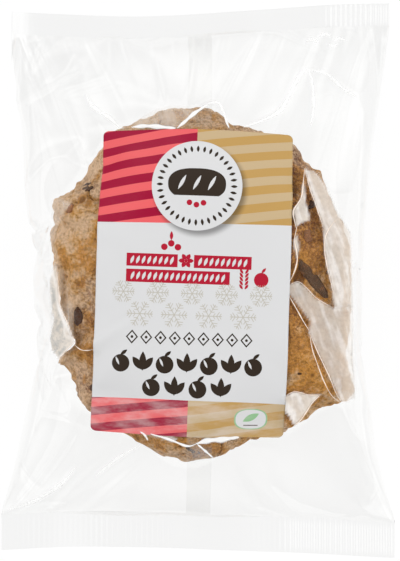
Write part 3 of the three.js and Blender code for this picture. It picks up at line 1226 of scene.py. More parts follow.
STRIPE_PITCH = 7.84
STRIPE_START = 2.48
STRIPE_SLANT = 0.157  # how far the stripes climb towards the right, and how far they bow
STRIPE_BOW = 0.00024
BAND_TOP = 42.4
BAND_TILT = 0.014  # how much the upper band's edge turns against the label's
BAND_BOTTOM = 15.8
BAND_ARCH = 1.4  # how far the lower band's edge bows up in its middle
ROUNDEL = (0.5, 43.2)
ROUNDEL_RADIUS = 20.0
ROUNDEL_SHADE = (0.02, 0.016, 0.014)
BARS = [(-18.2, 9.6, 22.6, 8), (13.0, 9.6, 25.4, 9), (-6.6, 2.6, 45.8, 17)]  # place, width and grains
BAR_HEIGHT = 5.7
GRAIN_PITCH = 2.5
FLOWER = (-3.2, 9.8)
FLAKE_ROWS = [(-4.6, 5, 4.9), (-14.2, 4, 5.8)]  # height, count and radius of the flakes in it
FLAKE_PITCH = 15.2
FLAKE_BARBS = [(0.35, 1.3), (0.6, 1.9), (0.82, 1.2)]  # place along an arm, and length
FLAKE_STROKE = 0.15
LOZENGE_Y = -24.4
LOZENGE_PITCH = 6.3
LOZENGES = 9
GARLAND_ROWS = [(-35.6, 7, 9.7), (-46.0, 4, 10.2)]  # height, count and pitch of the figures in it
BADGE = (28.0, -60.0)


def draw_bands(art):
    """Striped bands above and below, crimson on the left and straw on the right."""
    settings = art.settings
    foot = art.foot + BAND_ARCH - art.x * art.x * (4 * BAND_ARCH / (settings.width / MM) ** 2)
    band = (art.y - art.x * BAND_TILT > art.half - BAND_TOP).either(art.y < foot)
    slant = art.y - art.x * STRIPE_SLANT + art.x * art.x * STRIPE_BOW
    dark = (slant - STRIPE_START + STRIPE_PITCH / 4) % STRIPE_PITCH < STRIPE_PITCH / 2
    warm = art.finish.mix(dark, settings.coral, settings.crimson)
    straw = art.finish.mix(dark, settings.straw, settings.cream)
    art.ink(band, art.finish.mix(art.x > 0, warm, straw))


def draw_roundel(art):
    """White disc with a soft shadow, a ring of grains, a loaf with three cuts and three fruits."""
    settings = art.settings
    x, y = ROUNDEL
    shade = distance(*art.around(x + 1.4, y - 1.8)).ramp(ROUNDEL_RADIUS + 2.2, ROUNDEL_RADIUS - 1.5)
    art.ink(shade * 0.62, ROUNDEL_SHADE)
    here = art.around(x, y)
    art.ink(disc(here, ROUNDEL_RADIUS), settings.paper)
    along, aside = fanned(here, 36)
    art.ink(leaf((aside, along - 16.4), 1.25, 3.0), settings.ink)
    dome = (abs(here[0] / 12.8) ** 2.6 + abs((here[1] - 0.6) / 6.9) ** 2.4) < 1
    art.ink(dome.both(here[1] > -4.6), settings.ink)
    for k in (-1, 0, 1):
        art.ink(leaf(art.around(x + 6.6 * k, y + 1.2, -28), 1.5, 7.4), settings.paper)
    for k in (-1, 0, 1):
        art.ink(disc(art.around(x + 3.1 * k, y - 8.6 + abs(k) * 0.9), 1.25), settings.red)


def draw_bars(art):
    """Red bars with a row of white grains in each, and a small red figure beside each."""
    settings = art.settings
    for x, y, width, grains in BARS:
        here = art.around(x, y)
        bar = box(here, width, BAR_HEIGHT)
        art.ink(bar, settings.red)
        cell, row = tiled(here[0], GRAIN_PITCH, grains)
        grain = leaf(turned(cell, here[1], -20), 1.35, 3.9)
        art.ink(grain.both(row).both(bar), settings.paper)
    petal, aside = fanned(art.around(*FLOWER), 6)
    art.ink(leaf((aside, petal - 1.9), 1.9, 3.0), settings.red)
    art.ink(disc(art.around(*FLOWER), 0.7), settings.red)
    for k in range(-2, 3):
        for side in (-1, 1):
            art.ink(leaf(art.around(22.6 + 1.2 * side, 2.6 + 1.7 * k, -35 * side), 1.1, 2.7), settings.red)
    art.ink(disc(art.around(30.2, 2.4), 3.2), settings.red)
    art.ink(leaf(art.around(31.2, 6.6, -40), 1.2, 3.0), settings.red)
    for k in (-1, 0, 1):
        art.ink(disc(art.around(-10.0 + 3.0 * k, 17.2 - 1.6 * abs(k)), 1.45), settings.red)
    art.ink(leaf(art.around(-10.0, 20.6), 1.5, 4.0), settings.red)


def draw_flakes(art):
    """Two rows of fine pale snowflakes."""
    settings = art.settings
    for y, count, radius in FLAKE_ROWS:
        cell, row = tiled(art.x, FLAKE_PITCH, count)
        along, aside = fanned((cell, art.y - y), 6)
        aside = abs(aside)
        lines = aside < 0.17
        for share, reach in FLAKE_BARBS:
            barb = abs(aside * 0.55 - (along - share * radius) * 0.83) < FLAKE_STROKE
            lines = lines.either(barb.both(aside < reach))
        art.ink(lines.both(along < radius).both(row) * 0.8, settings.foil)


def draw_lozenges(art):
    """A thin row of dark lozenges with a dot in each."""
    cell, row = tiled(art.x + 0.6, LOZENGE_PITCH, LOZENGES)
    y = art.y - LOZENGE_Y
    edge = abs(cell / 2.7) + abs(y / 3.1)
    lozenge = (edge < 1.0).both(edge > 0.72)
    art.ink(lozenge.either(disc((cell, y), 0.62)).both(row), art.settings.ink)


def draw_garland(art):
    """Two bold rows of leaf sprigs and round fruits, wider above than below."""
    settings = art.settings
    for y, count, pitch in GARLAND_ROWS:
        x = art.x + 1.2
        cell, row = tiled(x, pitch, count)
        up = art.y - y
        sprig = leaf((cell, up - 0.6), 3.0, 8.6)
        for side in (-1, 1):
            sprig = sprig.either(leaf(turned(cell - 2.3 * side, up + 0.4, -38 * side), 3.1, 7.2))
        fruit = disc((cell, up + 0.6), 3.9).either(leaf(turned(cell - 1.2, up - 4.2, -50), 1.5, 3.8))
        glint = leaf(turned(cell + 1.5, up - 0.4, 25), 1.0, 4.0)
        offset = 0 if count % 2 else pitch / 2
        sprigs = every_other(x + offset, pitch)
        art.ink(sprig.both(sprigs).both(row), settings.ink)
        fruits = (1 - sprigs).both(row)
        art.ink(fruit.both(fruits), settings.ink)
        art.ink(glint.both(fruits), settings.paper)


def draw_badge(art):
    """Oval white badge with a green rim, a leaf and a dark rule."""
    settings = art.settings
    x, y = BADGE
    here = art.around(x, y)
    oval = abs(here[0] / 7.4) ** 2.6 + abs(here[1] / 4.9) ** 2.6
    art.ink(oval < 1.0, settings.green)
    art.ink(oval < 0.78, settings.paper)
    art.ink(leaf(art.around(x, y + 0.8, -62), 3.0, 8.0), settings.green)
    art.ink(box(art.around(x, y - 2.9), 6.4, 0.5), settings.ink)


def label_material(settings):
    """Semi-gloss paper with the print on it."""
    finish = Finish("label_print")
    art = Print(finish, settings)
    for draw in (draw_bands, draw_roundel, draw_bars, draw_flakes, draw_lozenges, draw_garland, draw_badge):
        draw(art)
    place = finish.place()
    fibre = finish.noise(place, size=0.5, detail=2)
    wave = finish.noise(place, size=14, detail=2)
    crumple = finish.noise(finish.stretched(place, (0.35, 1.0, 1.0)), size=5, detail=4, roughness=0.6)
    # Painted sheen: the lower band, which bends down towards the light, washed paler in crumpled streaks.
    crumpled_sheen = art.y.ramp(art.foot + 2, art.foot - 1) * (crumple.ramp(0.35, 0.75) * 0.36 + 0.02)
    art.ink(crumpled_sheen, settings.crumpled_sheen)
    relief = fibre * 0.06 + wave + crumpled_sheen * 2.0
    return finish.surface(
        Base_Color=art.colour,
        Roughness=fibre * 0.08 + 0.18,
        Specular_IOR_Level=0.25,
        Normal=finish.bump(relief, strength=0.2, distance=0.6),
    )


# ------------------------------------------------------------------ pieces


LABEL_DRIFT = 0.6  # how far the film, as it settles, carries the label to the right
LABEL_SPREAD = 1.01  # how much wider it makes the label


class LabelShape:
    """Where the label lies on the flat film."""

    def __init__(self, settings):
        low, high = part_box("label")
        middle = (low + high) / 2 / MM
        self.x = middle.x - LABEL_DRIFT
        self.y = middle.y - PILLOW_MIDDLE
        self.width = settings.width / MM / LABEL_SPREAD
        self.length = settings.length / MM
        self.corner = settings.corner / MM
        self.cosine = math.cos(settings.turn)
        self.sine = math.sin(settings.turn)

    def own_place(self, flat, along):
        """A place on the film as seen by the label: aside and up from its middle."""
        x = flat - self.x
        y = along - self.y
        return x * self.cosine + y * self.sine, y * self.cosine - x * self.sine

    def film_place(self, aside, up):
        """The place on the film of a point of the label."""
        x = self.x + aside * self.cosine - up * self.sine
        y = self.y + aside * self.sine + up * self.cosine
        return x, y


def finish_piece(piece, material):
    """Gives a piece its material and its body."""
    piece.data.materials.append(material)
    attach(piece, "root")
    return piece


def film_grid():
    """The finished film's points, (3, rows, columns)."""
    film = bpy.data.objects.get("bag_film")
    if film is None:
        raise RuntimeError("Add the film first: this piece lies on it")
    return mesh_points(film).T.reshape(3, FINE_ALONG + 1, 2 * FINE_ACROSS)


def read_grid(grid, row, column):
    """Points of a grid between its own, at fractional rows and columns."""
    j = np.clip(np.floor(row).astype(int), 0, grid.shape[1] - 2)
    i = np.clip(np.floor(column).astype(int), 0, grid.shape[2] - 2)
    down = row - j
    over = column - i
    near = grid[:, j, i] * (1 - over) + grid[:, j, i + 1] * over
    far = grid[:, j + 1, i] * (1 - over) + grid[:, j + 1, i + 1] * over
    return near * (1 - down) + far * down


def add_grid(name, grid, wrap=False):
    """A piece from a grid of points (3, rows, columns)."""
    return add_mesh(name, grid.reshape(3, -1).T, grid_faces(*grid.shape[1:], wrap))


def add_film(scene):
    """The bag's film, settled round the loaf."""
    bag = BagShape(scene.bread_bag)
    loaf = LoafShape(scene.bread_loaf)
    tube = settled_film(bag, loaf, LabelShape(scene.bread_label))
    film = add_grid("bag_film", tube.points, wrap=True)
    # Painted reflection, as milky veils on the film.
    store(film, "reflection_veil", reflection_veiling(tube.points))
    store(film, "cling", clinging(tube.points, loaf))
    material = film_material("film", scene.bread_bag.tint, roughness=0.06, streaks=0.05)
    finish_piece(film, material)
    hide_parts("bag")


SEAL_STEP = 0.35
SEAL_ROWS = 14
SEAL_RIM = 0.12  # share of a seal's depth within which the ridges start at its rims
SEAL_TINT = 0.97  # how much less light the welded film lets through
RIM_WAVE = 0.5  # height and length of the wave in the cut edge
RIM_WAVE_LENGTH = 11
CRIMP_RISE = 0.24
CRIMP_STRONG = {  # where the crimping shows most at each end: from, to, share of its rise
    1: [(58, 95, 1.0)],
    -1: [(38, 95, 1.0), (-48, 0, 0.45), (-90, -70, 0.4)],
}
CRIMP_FAINT = 0.08
CRIMP_FADE = 6


def crimp_rise(end, flat):
    """Height of the crimp ridges across the bag, strong in some places only."""
    rise = np.full(len(flat), CRIMP_FAINT)
    for first, last, share in CRIMP_STRONG[end]:
        here = smooth_step(flat, first - CRIMP_FADE, first + CRIMP_FADE)
        here = here * smooth_step(-flat, -last - CRIMP_FADE, -last + CRIMP_FADE)
        rise = np.maximum(rise, share * here)
    return rise * CRIMP_RISE


def add_seals(scene):
    """Both crimped ends: the two sheets welded into one band of fine upright ridges."""
    bag = BagShape(scene.bread_bag)
    flat = np.arange(-bag.flat_width / 2, bag.flat_width / 2 + SEAL_STEP / 2, SEAL_STEP)
    bodies = []
    for end in (-1, 1):
        depth = bag.seal(end)
        rows = []
        for inset in np.linspace(depth, 0, SEAL_ROWS):
            line = seal_points(bag, end, flat, inset).astype(float)
            rim = min(inset, depth - inset) / depth
            ridge = np.sin(flat / bag.crimp_pitch * 2 * np.pi) * crimp_rise(end, flat)
            line[2] += ridge * smooth_step(rim, 0, SEAL_RIM)
            line[2] += RIM_WAVE * np.sin(flat / RIM_WAVE_LENGTH + end) * (depth - inset) / depth
            rows.append(line.T)
        faces = grid_faces(SEAL_ROWS, len(flat))
        bodies.append((np.concatenate(rows), faces if end > 0 else faces[:, ::-1]))
    seals = add_mesh("end_seals", *joined(bodies))
    tint = [channel * SEAL_TINT for channel in scene.bread_bag.tint]
    material = film_material("sealed_film", tint, roughness=0.12, streaks=0.1)
    finish_piece(seals, material)


SEAM_COLUMNS = 9
SEAM_DROP = 0.1  # how far it hangs under the film
SEAM_LOWEST = 0.05


def add_seam(scene):
    """The back seam: a narrow flat band of film along the middle of the bottom sheet."""
    bag = BagShape(scene.bread_bag)
    under = film_grid()[:, :, FINE_ACROSS:]
    flat = np.linspace(-bag.fin_width / 2, bag.fin_width / 2, SEAM_COLUMNS)
    column = (1 - (flat / bag.flat_width + 0.5)) * FINE_ACROSS
    row, column = np.meshgrid(np.arange(under.shape[1]), column, indexing="ij")
    band = read_grid(under, row.astype(float), column)
    band[2] = np.maximum(band[2] - SEAM_DROP, SEAM_LOWEST)
    seam = add_grid("back_seam", band)
    tint = [channel**2 for channel in scene.bread_bag.tint]
    material = film_material("seam_film", tint, roughness=0.1, streaks=0.1)
    finish_piece(seam, material)


# Thin pleats, where the film lies doubled along a crease, coloured near white as painted highlight lines:
# half width, and points along each.
PLEATS = [
    (0.7, [(-50.5, 84), (-48, 79), (-44, 76), (-39.5, 73), (-36, 69.5), (-33.5, 68.5)]),
    (0.9, [(-30, 69), (-23.5, 69.5), (-15.5, 69), (-10, 68.5)]),
    (0.75, [(-9.5, 68.5), (-6.5, 71), (-2, 75), (1, 77), (4.5, 79.5)]),
    (0.6, [(3.5, 79.5), (9, 80), (11.5, 75.5), (13, 71), (14, 68.5)]),
    (0.75, [(48.5, 95.5), (45, 91), (42, 85), (39, 79.5), (36.5, 76), (30, 72.5), (20.5, 69)]),
    (0.6, [(49.5, 95), (58, 93), (64, 87.5), (71.5, 82.5)]),
    (0.6, [(50, 94.5), (51.5, 88), (52, 78), (50.5, 69.5)]),
    (0.8, [(48.5, 107.5), (51.5, 108.5), (54.5, 107)]),
    (0.55, [(54.5, 109.5), (57.5, 111), (60.5, 109.5)]),
    (0.6, [(61, 108), (63.5, 109), (66.5, 108)]),
    (0.5, [(58.5, 106.5), (60.5, 105.5), (63, 106.5)]),
    (0.36, [(48, 50.5), (47.5, 45.5), (46.5, 37.5), (43, 31.5), (43.5, 26.5), (44.5, 23)]),
    (0.36, [(44.5, 24), (43.5, 18.5), (44.5, 12), (44.5, 8), (43, 3), (41, -1)]),
    (0.2, [(48, 50.5), (50.5, 41), (52.5, 35.5), (56.5, 23.5)]),
    (0.26, [(63.5, 28), (60.5, 25.5), (57.5, 20), (57, 14), (58, 7), (61, -6)]),
    (0.15, [(41, -2), (45, -0.5), (48.5, -3), (53.5, -8), (61, -12.5)]),
    (0.28, [(41, -7), (45, -14), (47.5, -18.5), (50, -22.5)]),
    (0.26, [(50, -23), (51.5, -31), (53.5, -37), (56.5, -45), (60, -51.5), (64, -55)]),
    (0.26, [(50, -23), (54, -32.5), (59, -43), (62, -50.5), (64.5, -54.5)]),
    (0.3, [(55, -51.5), (51.5, -55), (46.5, -62.5), (43, -65.5)]),
    (0.14, [(38.5, -52.5), (43.5, -50), (50, -51.5), (55, -51.5)]),
    (0.45, [(-26, -68), (-24, -69.5), (-22.5, -72)]),
    (0.5, [(-21.5, -69), (-13, -71.5), (-5, -74.5), (-0.5, -73.5)]),
    (1.2, [(-1, -73.5), (4.5, -72), (10.5, -71.5), (18.5, -70.5)]),
    (0.45, [(-0.5, -73.5), (3, -76.5), (7, -80)]),
    (0.22, [(-56, -28.5), (-53, -31), (-50, -31.5), (-47, -31)]),
    (0.24, [(-55.5, -27.5), (-59, -31), (-63, -35.5)]),
    (0.2, [(-63.5, 4), (-62.5, -6), (-62, -12), (-59, -18.5), (-55.5, -27.5)]),
    (0.7, [(-85, -103), (-74, -99.5), (-62, -92), (-55, -84)]),
    (0.6, [(-46, -88), (-36, -80), (-26, -74)]),
]
PLEAT_STEP = 0.7
PLEAT_FINE = 0.37  # pleats finer than this lie on the crust and take up its colour
PLEAT_ROUND = 6
FINE_PLEAT = (0.15, 1.0)  # how high they lie over the film, and how much wider than listed they are
BROAD_PLEAT = (0.35, 1.3)
PLEAT_TIP = 0.15  # width at its ends, and thickness, as shares of its width
PLEAT_THICK = 0.35
PLEAT_TAPER = (0.3, 0.7)
PLEAT_UNEVEN = 0.25  # how much its width varies along it
PLEAT_SEATS = 4  # points of the film that give a pleat its height


def smooth_points(line, step):
    """Points at even steps along a curve through the points of a line."""
    line = np.array(line, float)
    ahead = np.concatenate([line[:1] * 2 - line[1:2], line, line[-1:] * 2 - line[-2:-1]])
    share = np.arange(0, 1, 0.05)[:, None]
    curve = []
    for a, b, c, d in zip(ahead, ahead[1:], ahead[2:], ahead[3:]):
        bend = (2 * a - 5 * b + 4 * c - d) * share**2 + (3 * b - a - 3 * c + d) * share**3
        curve.append(b + ((c - a) * share + bend) / 2)
    return points_along(np.concatenate([*curve, line[-1:]]), step)


def pleat_body(size, line, top, plan):
    """Points and faces of one pleat: a flat tube on the top sheet, uneven and thin at its ends."""
    x, y, run = smooth_points(line, PLEAT_STEP)
    away = (plan[0][:, None] - x) ** 2 + (plan[1][:, None] - y) ** 2
    z = top[2][np.argpartition(away, PLEAT_SEATS, axis=0)[:PLEAT_SEATS]].mean(0)
    lift, spread = FINE_PLEAT if size < PLEAT_FINE else BROAD_PLEAT
    z = smoothed(z, 2) + lift
    x, y = off_plan(x, y, z)
    aside = np.stack([-np.gradient(y), np.gradient(x)])
    aside /= np.hypot(*aside)
    wide = size * spread * (PLEAT_TIP + (1 - PLEAT_TIP) * tapered(run, *PLEAT_TAPER))
    wide = wide * (1 + PLEAT_UNEVEN * np.sin(run * 17 + size * 40))
    turns = turns_round(PLEAT_ROUND)
    out = wide[:, None] * np.cos(turns)
    ring = np.stack([x[:, None] + aside[0][:, None] * out, y[:, None] + aside[1][:, None] * out])
    rise = z[:, None] + wide[:, None] * PLEAT_THICK * np.sin(turns)
    points = np.concatenate([ring, rise[None]]).reshape(3, -1).T
    tip = np.arange(PLEAT_ROUND)
    tips = np.stack([tip[::-1], tip + (len(x) - 1) * PLEAT_ROUND])
    return points, grid_faces(len(x), PLEAT_ROUND, wrap=True), tips


def pleat_highlight_material():
    """Doubled film coloured as a painted highlight: bright streaks, warm where the crust lies close under
    them.
    """
    finish = Finish("pleat_highlights")
    streak = finish.noise(finish.place(), size=3, detail=2)
    pale = finish.mix(streak, (0.92, 0.92, 0.91), (1.0, 1.0, 1.0))
    warm = finish.mix(streak, (0.90, 0.76, 0.64), (1.0, 0.90, 0.80))
    return finish.surface(
        Base_Color=finish.mix(finish.stored("warmth"), pale, warm),
        Roughness=0.3,
        Alpha=finish.stored("core") * (finish.stored("cling") * 0.4 + 0.45),
    )


def add_pleats(scene):
    """Fine doubled edges of film along the sharpest creases of the top sheet, pale as painted highlights.
    """
    top = film_grid()[:, :, : FINE_ACROSS + 1].reshape(3, -1)
    plan = on_plan(*top)
    bodies = [pleat_body(size, line, top, plan) for size, line in PLEATS]
    points, *faces = joined(bodies)
    pleats = add_mesh("film_pleats", points, *faces)
    warmth = [np.full(len(body), size < PLEAT_FINE) for (size, _), (body, *_) in zip(PLEATS, bodies)]
    store(pleats, "warmth", np.concatenate(warmth))
    store(pleats, "core", np.tile(1 - np.cos(turns_round(PLEAT_ROUND)) ** 4, len(points) // PLEAT_ROUND))
    store(pleats, "cling", clinging(points.T, LoafShape(scene.bread_loaf)))
    finish_piece(pleats, pleat_highlight_material())


LOAF_ROWS = 150
LOAF_COLUMNS = 600
CRUST_LUMPS = [  # size and height of the crust's bumps, coarse to fine
    (30, 1.2),
    (12, 1.3),
    (5.5, 1.3),
    (2.6, 0.8),
]
CRUST_SINK = -1.1  # how far the crust lies inside the loaf's plain shape, and its highest bumps outside
CRUST_TOP = 0.55
PIT_COUNT = 260
PIT_SEED = 7
PIT_SIZES = (0.7, 1.9)
PIT_DEPTHS = (0.3, 1.0)
HOLLOWS = [(-52, 37, 2.0), (43, 41, 2.0)]  # place and size of the larger ones
HOLLOW_DEPTH = 0.8
DEEPEST = 1.5  # how far down a hollow of depth 1 goes
LOAF_FOOT = 0.3
PROFILE_STEPS = 4001
CRUST_SHOWS = (-0.9, 0.5)  # lowest turn, and least share of the reach, at which the crust shows
HIDDEN_FINENESS = 0.22  # fineness of the mesh where it doesn't
TOASTED_AND_SHADED = [  # darker places of the crust, well baked patches and painted shadow in strips beside the label's edges: place, spread across and along, share
    (49, 24, 12, 20, 0.42),
    (44, 52, 5, 7, 0.50),
    (41, 20, 3, 40, 0.55),
    (42, -20, 5, 12, 0.30),
    (-46, -14, 5, 17, 0.34),
    (-47, 40, 5, 5, 0.30),
    (-48, -46, 6, 9, 0.36),
    (14, 72, 10, 5, 0.25),
    (0, -77, 16, 4, 0.15),
]


def toasting_and_shade(points):
    """How dark the crust is at each point, 0 to 1: baked through, and painted shadow beside the label."""
    share = np.zeros(len(points))
    wander = noise_at(points, 5, 35) * 2.5
    for x, y, across, along, dark in TOASTED_AND_SHADED:
        away = ((points[:, 0] - x + wander) / across) ** 2 + ((points[:, 1] - y + wander) / along) ** 2
        share = np.maximum(share, dark * np.exp(-away / 2))
    return share * (1 + 0.5 * noise_at(points, 3, 36)) * (points[:, 2] > WAIST)


def loaf_rows(loaf):
    """Turns of the loaf's profile, close together where the crust shows and wide apart elsewhere."""
    turn = np.linspace(np.pi / 2, -np.pi / 2, PROFILE_STEPS)
    share, height = loaf.profile(turn)
    step = np.hypot(np.diff(share) * loaf.half[0], np.diff(height))
    middle = (share[1:] + share[:-1]) / 2
    shows = (turn[1:] > CRUST_SHOWS[0]) & (middle > CRUST_SHOWS[1])
    fineness = np.where(shows, 1.0, HIDDEN_FINENESS)
    run = np.concatenate([[0], np.cumsum(step * fineness)])
    return np.interp(np.linspace(0, run[-1], LOAF_ROWS + 2)[1:-1], run, turn)


def crust_relief(points):
    """How far the crust stands out of the loaf's plain shape, and how deep in a hollow it is."""
    relief = np.full(len(points), CRUST_SINK)
    for k, (size, height) in enumerate(CRUST_LUMPS):
        relief += height * noise_at(points, size, 20 + k)
    bent = points * (1.0, 0.55, 1.0) + 3 * noise_at(points, 8, 34)[:, None]
    crack = np.abs(noise_at(bent, 15, 31))
    open_crack = smooth_step(noise_at(points, 22, 32), 0.05, 0.35)
    depth = (1 - smooth_step(crack, 0.0, 0.075)) * open_crack
    draw = np.random.default_rng(PIT_SEED)
    for _ in range(PIT_COUNT):
        at = points[draw.integers(len(points))]
        size = draw.uniform(*PIT_SIZES)
        apart = np.linalg.norm(points - at, axis=1) / size
        depth = np.maximum(depth, np.exp(-apart * apart) * draw.uniform(*PIT_DEPTHS))
    wander = 0.5 * noise_at(points, 2.2, 33)
    for x, y, size in HOLLOWS:
        apart = np.hypot(points[:, 0] - x, points[:, 1] - y) / size + wander
        depth = np.maximum(depth, HOLLOW_DEPTH * np.exp(-apart**4) * (points[:, 2] > WAIST))
    relief -= depth * DEEPEST
    return np.minimum(relief, CRUST_TOP), depth


def add_loaf(scene):
    """The loaf: its plain shape with the crust's relief on it, closed by a fan at each pole."""
    loaf = LoafShape(scene.bread_loaf)
    turn = loaf_rows(loaf)[:, None]
    angle = turns_round(LOAF_COLUMNS)[None]
    share, height = loaf.profile(turn)
    reach = loaf.radius(angle) * share
    x = LOAF_CENTRE[0] + reach * np.cos(angle)
    y = LOAF_CENTRE[1] + reach * np.sin(angle)
    body = np.stack([x, y, height + 0 * x])
    outwards = upright_to(body)
    outwards /= -np.sqrt((outwards**2).sum(0)) + 1e-9
    points = body.reshape(3, -1).T
    relief, hollow = crust_relief(points)
    points = points + outwards.reshape(3, -1).T * relief[:, None]
    points[:, 2] = np.maximum(points[:, 2], LOAF_FOOT)
    poles = [(*LOAF_CENTRE, loaf.height - 0.7), (*LOAF_CENTRE, LOAF_FOOT)]
    count = LOAF_ROWS * LOAF_COLUMNS
    first = np.arange(LOAF_COLUMNS)
    crust = add_mesh(
        "loaf",
        np.concatenate([points, poles]),
        grid_faces(LOAF_ROWS, LOAF_COLUMNS, wrap=True)[:, ::-1],
        fan_faces(count, first),
        fan_faces(count + 1, count - LOAF_COLUMNS + first, flip=True),
    )
    store(crust, "hollow", np.concatenate([hollow, [0, 0]]))
    store(crust, "toast_and_shade", np.concatenate([toasting_and_shade(points), [0, 0]]))
    finish_piece(crust, crust_material(scene.bread_loaf))


# Fruit that shows in the crust: place, half sizes along, across and up, turn in degrees.
RAISINS = [
    (-54, -16, 4.5, 2, 1.5, 92),
    (-49.5, 42, 2.5, 2, 1.5, 40),
    (51, 34, 2, 1.5, 1.5, 60),
    (-3.5, -76.5, 2.5, 1, 1, 145),
    (1, -78, 2, 0.75, 1, 145),
    (-33, -67, 2, 1.5, 1.5, 20),
    (-47, -48, 2, 1.5, 1.5, 30),
]
FRUIT_PIECES = [
    (51.5, 1, 10, 2.5, 2, -52),
    (49.5, 20, 3, 2, 2, 100),
]
GOLDEN = 0.618  # step from one lump's shade to the next, so that neighbours differ
SCATTER_SHARES = (0.6, 0.93)  # where scattered fruit lies between the loaf's middle and its edge
SCATTER_SHAPES = (0.55, 0.8)  # its width as a share of its length
SCATTER_RISE = 0.55  # its height likewise
PEBBLE_SINK = 0.4  # share of its half height by which a lump is sunk
PEBBLE_BLEND = 1.2  # width over which it takes up the crust's height
PEBBLE_ROWS = 14
PEBBLE_COLUMNS = 24


def pebble(at, half, turn, seed):
    """A wrinkled lump: points and faces of a rounded body with uneven skin."""
    latitude = np.linspace(np.pi / 2, -np.pi / 2, PEBBLE_ROWS + 2)[1:-1, None]
    longitude = turns_round(PEBBLE_COLUMNS)[None]
    ball = np.stack(
        [
            np.cos(latitude) * np.cos(longitude),
            np.cos(latitude) * np.sin(longitude),
            np.sin(latitude) + 0 * longitude,
        ],
        -1,
    ).reshape(-1, 3)
    ball = np.concatenate([ball, [(0, 0, 1), (0, 0, -1)]])
    ball = np.sign(ball) * np.abs(ball) ** 0.8
    skin = 1 + 0.2 * noise_at(ball + 9, 0.9, seed) + 0.13 * noise_at(ball + 9, 0.35, seed + 1)
    body = ball * skin[:, None] * half
    cosine, sine = math.cos(turn), math.sin(turn)
    x = body[:, 0] * cosine - body[:, 1] * sine
    y = body[:, 0] * sine + body[:, 1] * cosine
    count = PEBBLE_ROWS * PEBBLE_COLUMNS
    ring = np.arange(PEBBLE_COLUMNS)
    quads = grid_faces(PEBBLE_ROWS, PEBBLE_COLUMNS, wrap=True)[:, ::-1]
    fans = np.concatenate(
        [fan_faces(count, ring), fan_faces(count + 1, count - PEBBLE_COLUMNS + ring, flip=True)]
    )
    return np.stack([x + at[0], y + at[1], body[:, 2]], -1), quads, fans


def add_pebbles(name, rows, crust, material, seed):
    """One piece of many lumps, each sunk into the crust and bent to it where it lies."""
    surface = mesh_points(crust)
    surface = surface[surface[:, 2] > WAIST]
    bodies = []
    plan_x, plan_y = on_plan(*surface.T)
    for k, (x, y, *half, turn) in enumerate(rows):
        seat = surface[np.hypot(plan_x - x, plan_y - y).argmin()]
        x, y = off_plan(x, y, seat[2])
        body, *faces = pebble((x, y), half, math.radians(turn), seed + 2 * k)
        near = surface[np.hypot(surface[:, 0] - x, surface[:, 1] - y) < half[0] + 4]
        apart = np.hypot(body[:, 0, None] - near[:, 0], body[:, 1, None] - near[:, 1])
        share = np.exp(-((apart / PEBBLE_BLEND) ** 2)) + 1e-9
        body[:, 2] += (share @ near[:, 2]) / share.sum(1) - half[2] * PEBBLE_SINK
        bodies.append((body, *faces))
    piece = add_mesh(name, *joined(bodies))
    shades = [np.full(len(body), k * GOLDEN % 1) for k, (body, *_) in enumerate(bodies)]
    store(piece, "shade", np.concatenate(shades))
    finish_piece(piece, material)


def scattered(loaf, count, seed, sizes):
    """Places for more fruit in the crust that shows round the label."""
    draw = np.random.default_rng(seed)
    rows = []
    while len(rows) < count:
        angle = draw.uniform(-np.pi, np.pi)
        share = draw.uniform(*SCATTER_SHARES)
        x = LOAF_CENTRE[0] + loaf.radius(angle) * share * math.cos(angle)
        y = LOAF_CENTRE[1] + loaf.radius(angle) * share * math.sin(angle)
        size = draw.uniform(*sizes)
        across = size * draw.uniform(*SCATTER_SHAPES)
        rows.append((x, y, size, across, size * SCATTER_RISE, draw.uniform(0, 180)))
    return rows


def add_fruit(scene):
    """Raisins and larger pieces of dried fruit in the crust: those listed, and a few scattered ones."""
    crust = bpy.data.objects.get("loaf")
    if crust is None:
        raise RuntimeError("Add the loaf first: the fruit sits in its crust")
    settings = scene.bread_loaf
    loaf = LoafShape(settings)
    raisins = RAISINS + scattered(loaf, count=4, seed=5, sizes=(1.0, 1.8))
    dark = fruit_material("raisin_skin", settings.raisin, settings.fig, wrinkle=1.2)
    add_pebbles("raisins", raisins, crust, dark, seed=50)
    pieces = FRUIT_PIECES + scattered(loaf, count=3, seed=9, sizes=(1.4, 2.4))
    brown = fruit_material("dried_fruit", settings.fig, settings.seedy, wrinkle=1.8)
    add_pebbles("fruit_pieces", pieces, crust, brown, seed=150)


LABEL_ROWS = 131
CORNER_ROWS = 6
LABEL_COLUMNS = 89
LABEL_LIFT = 0.1
LABEL_THICK = 0.12


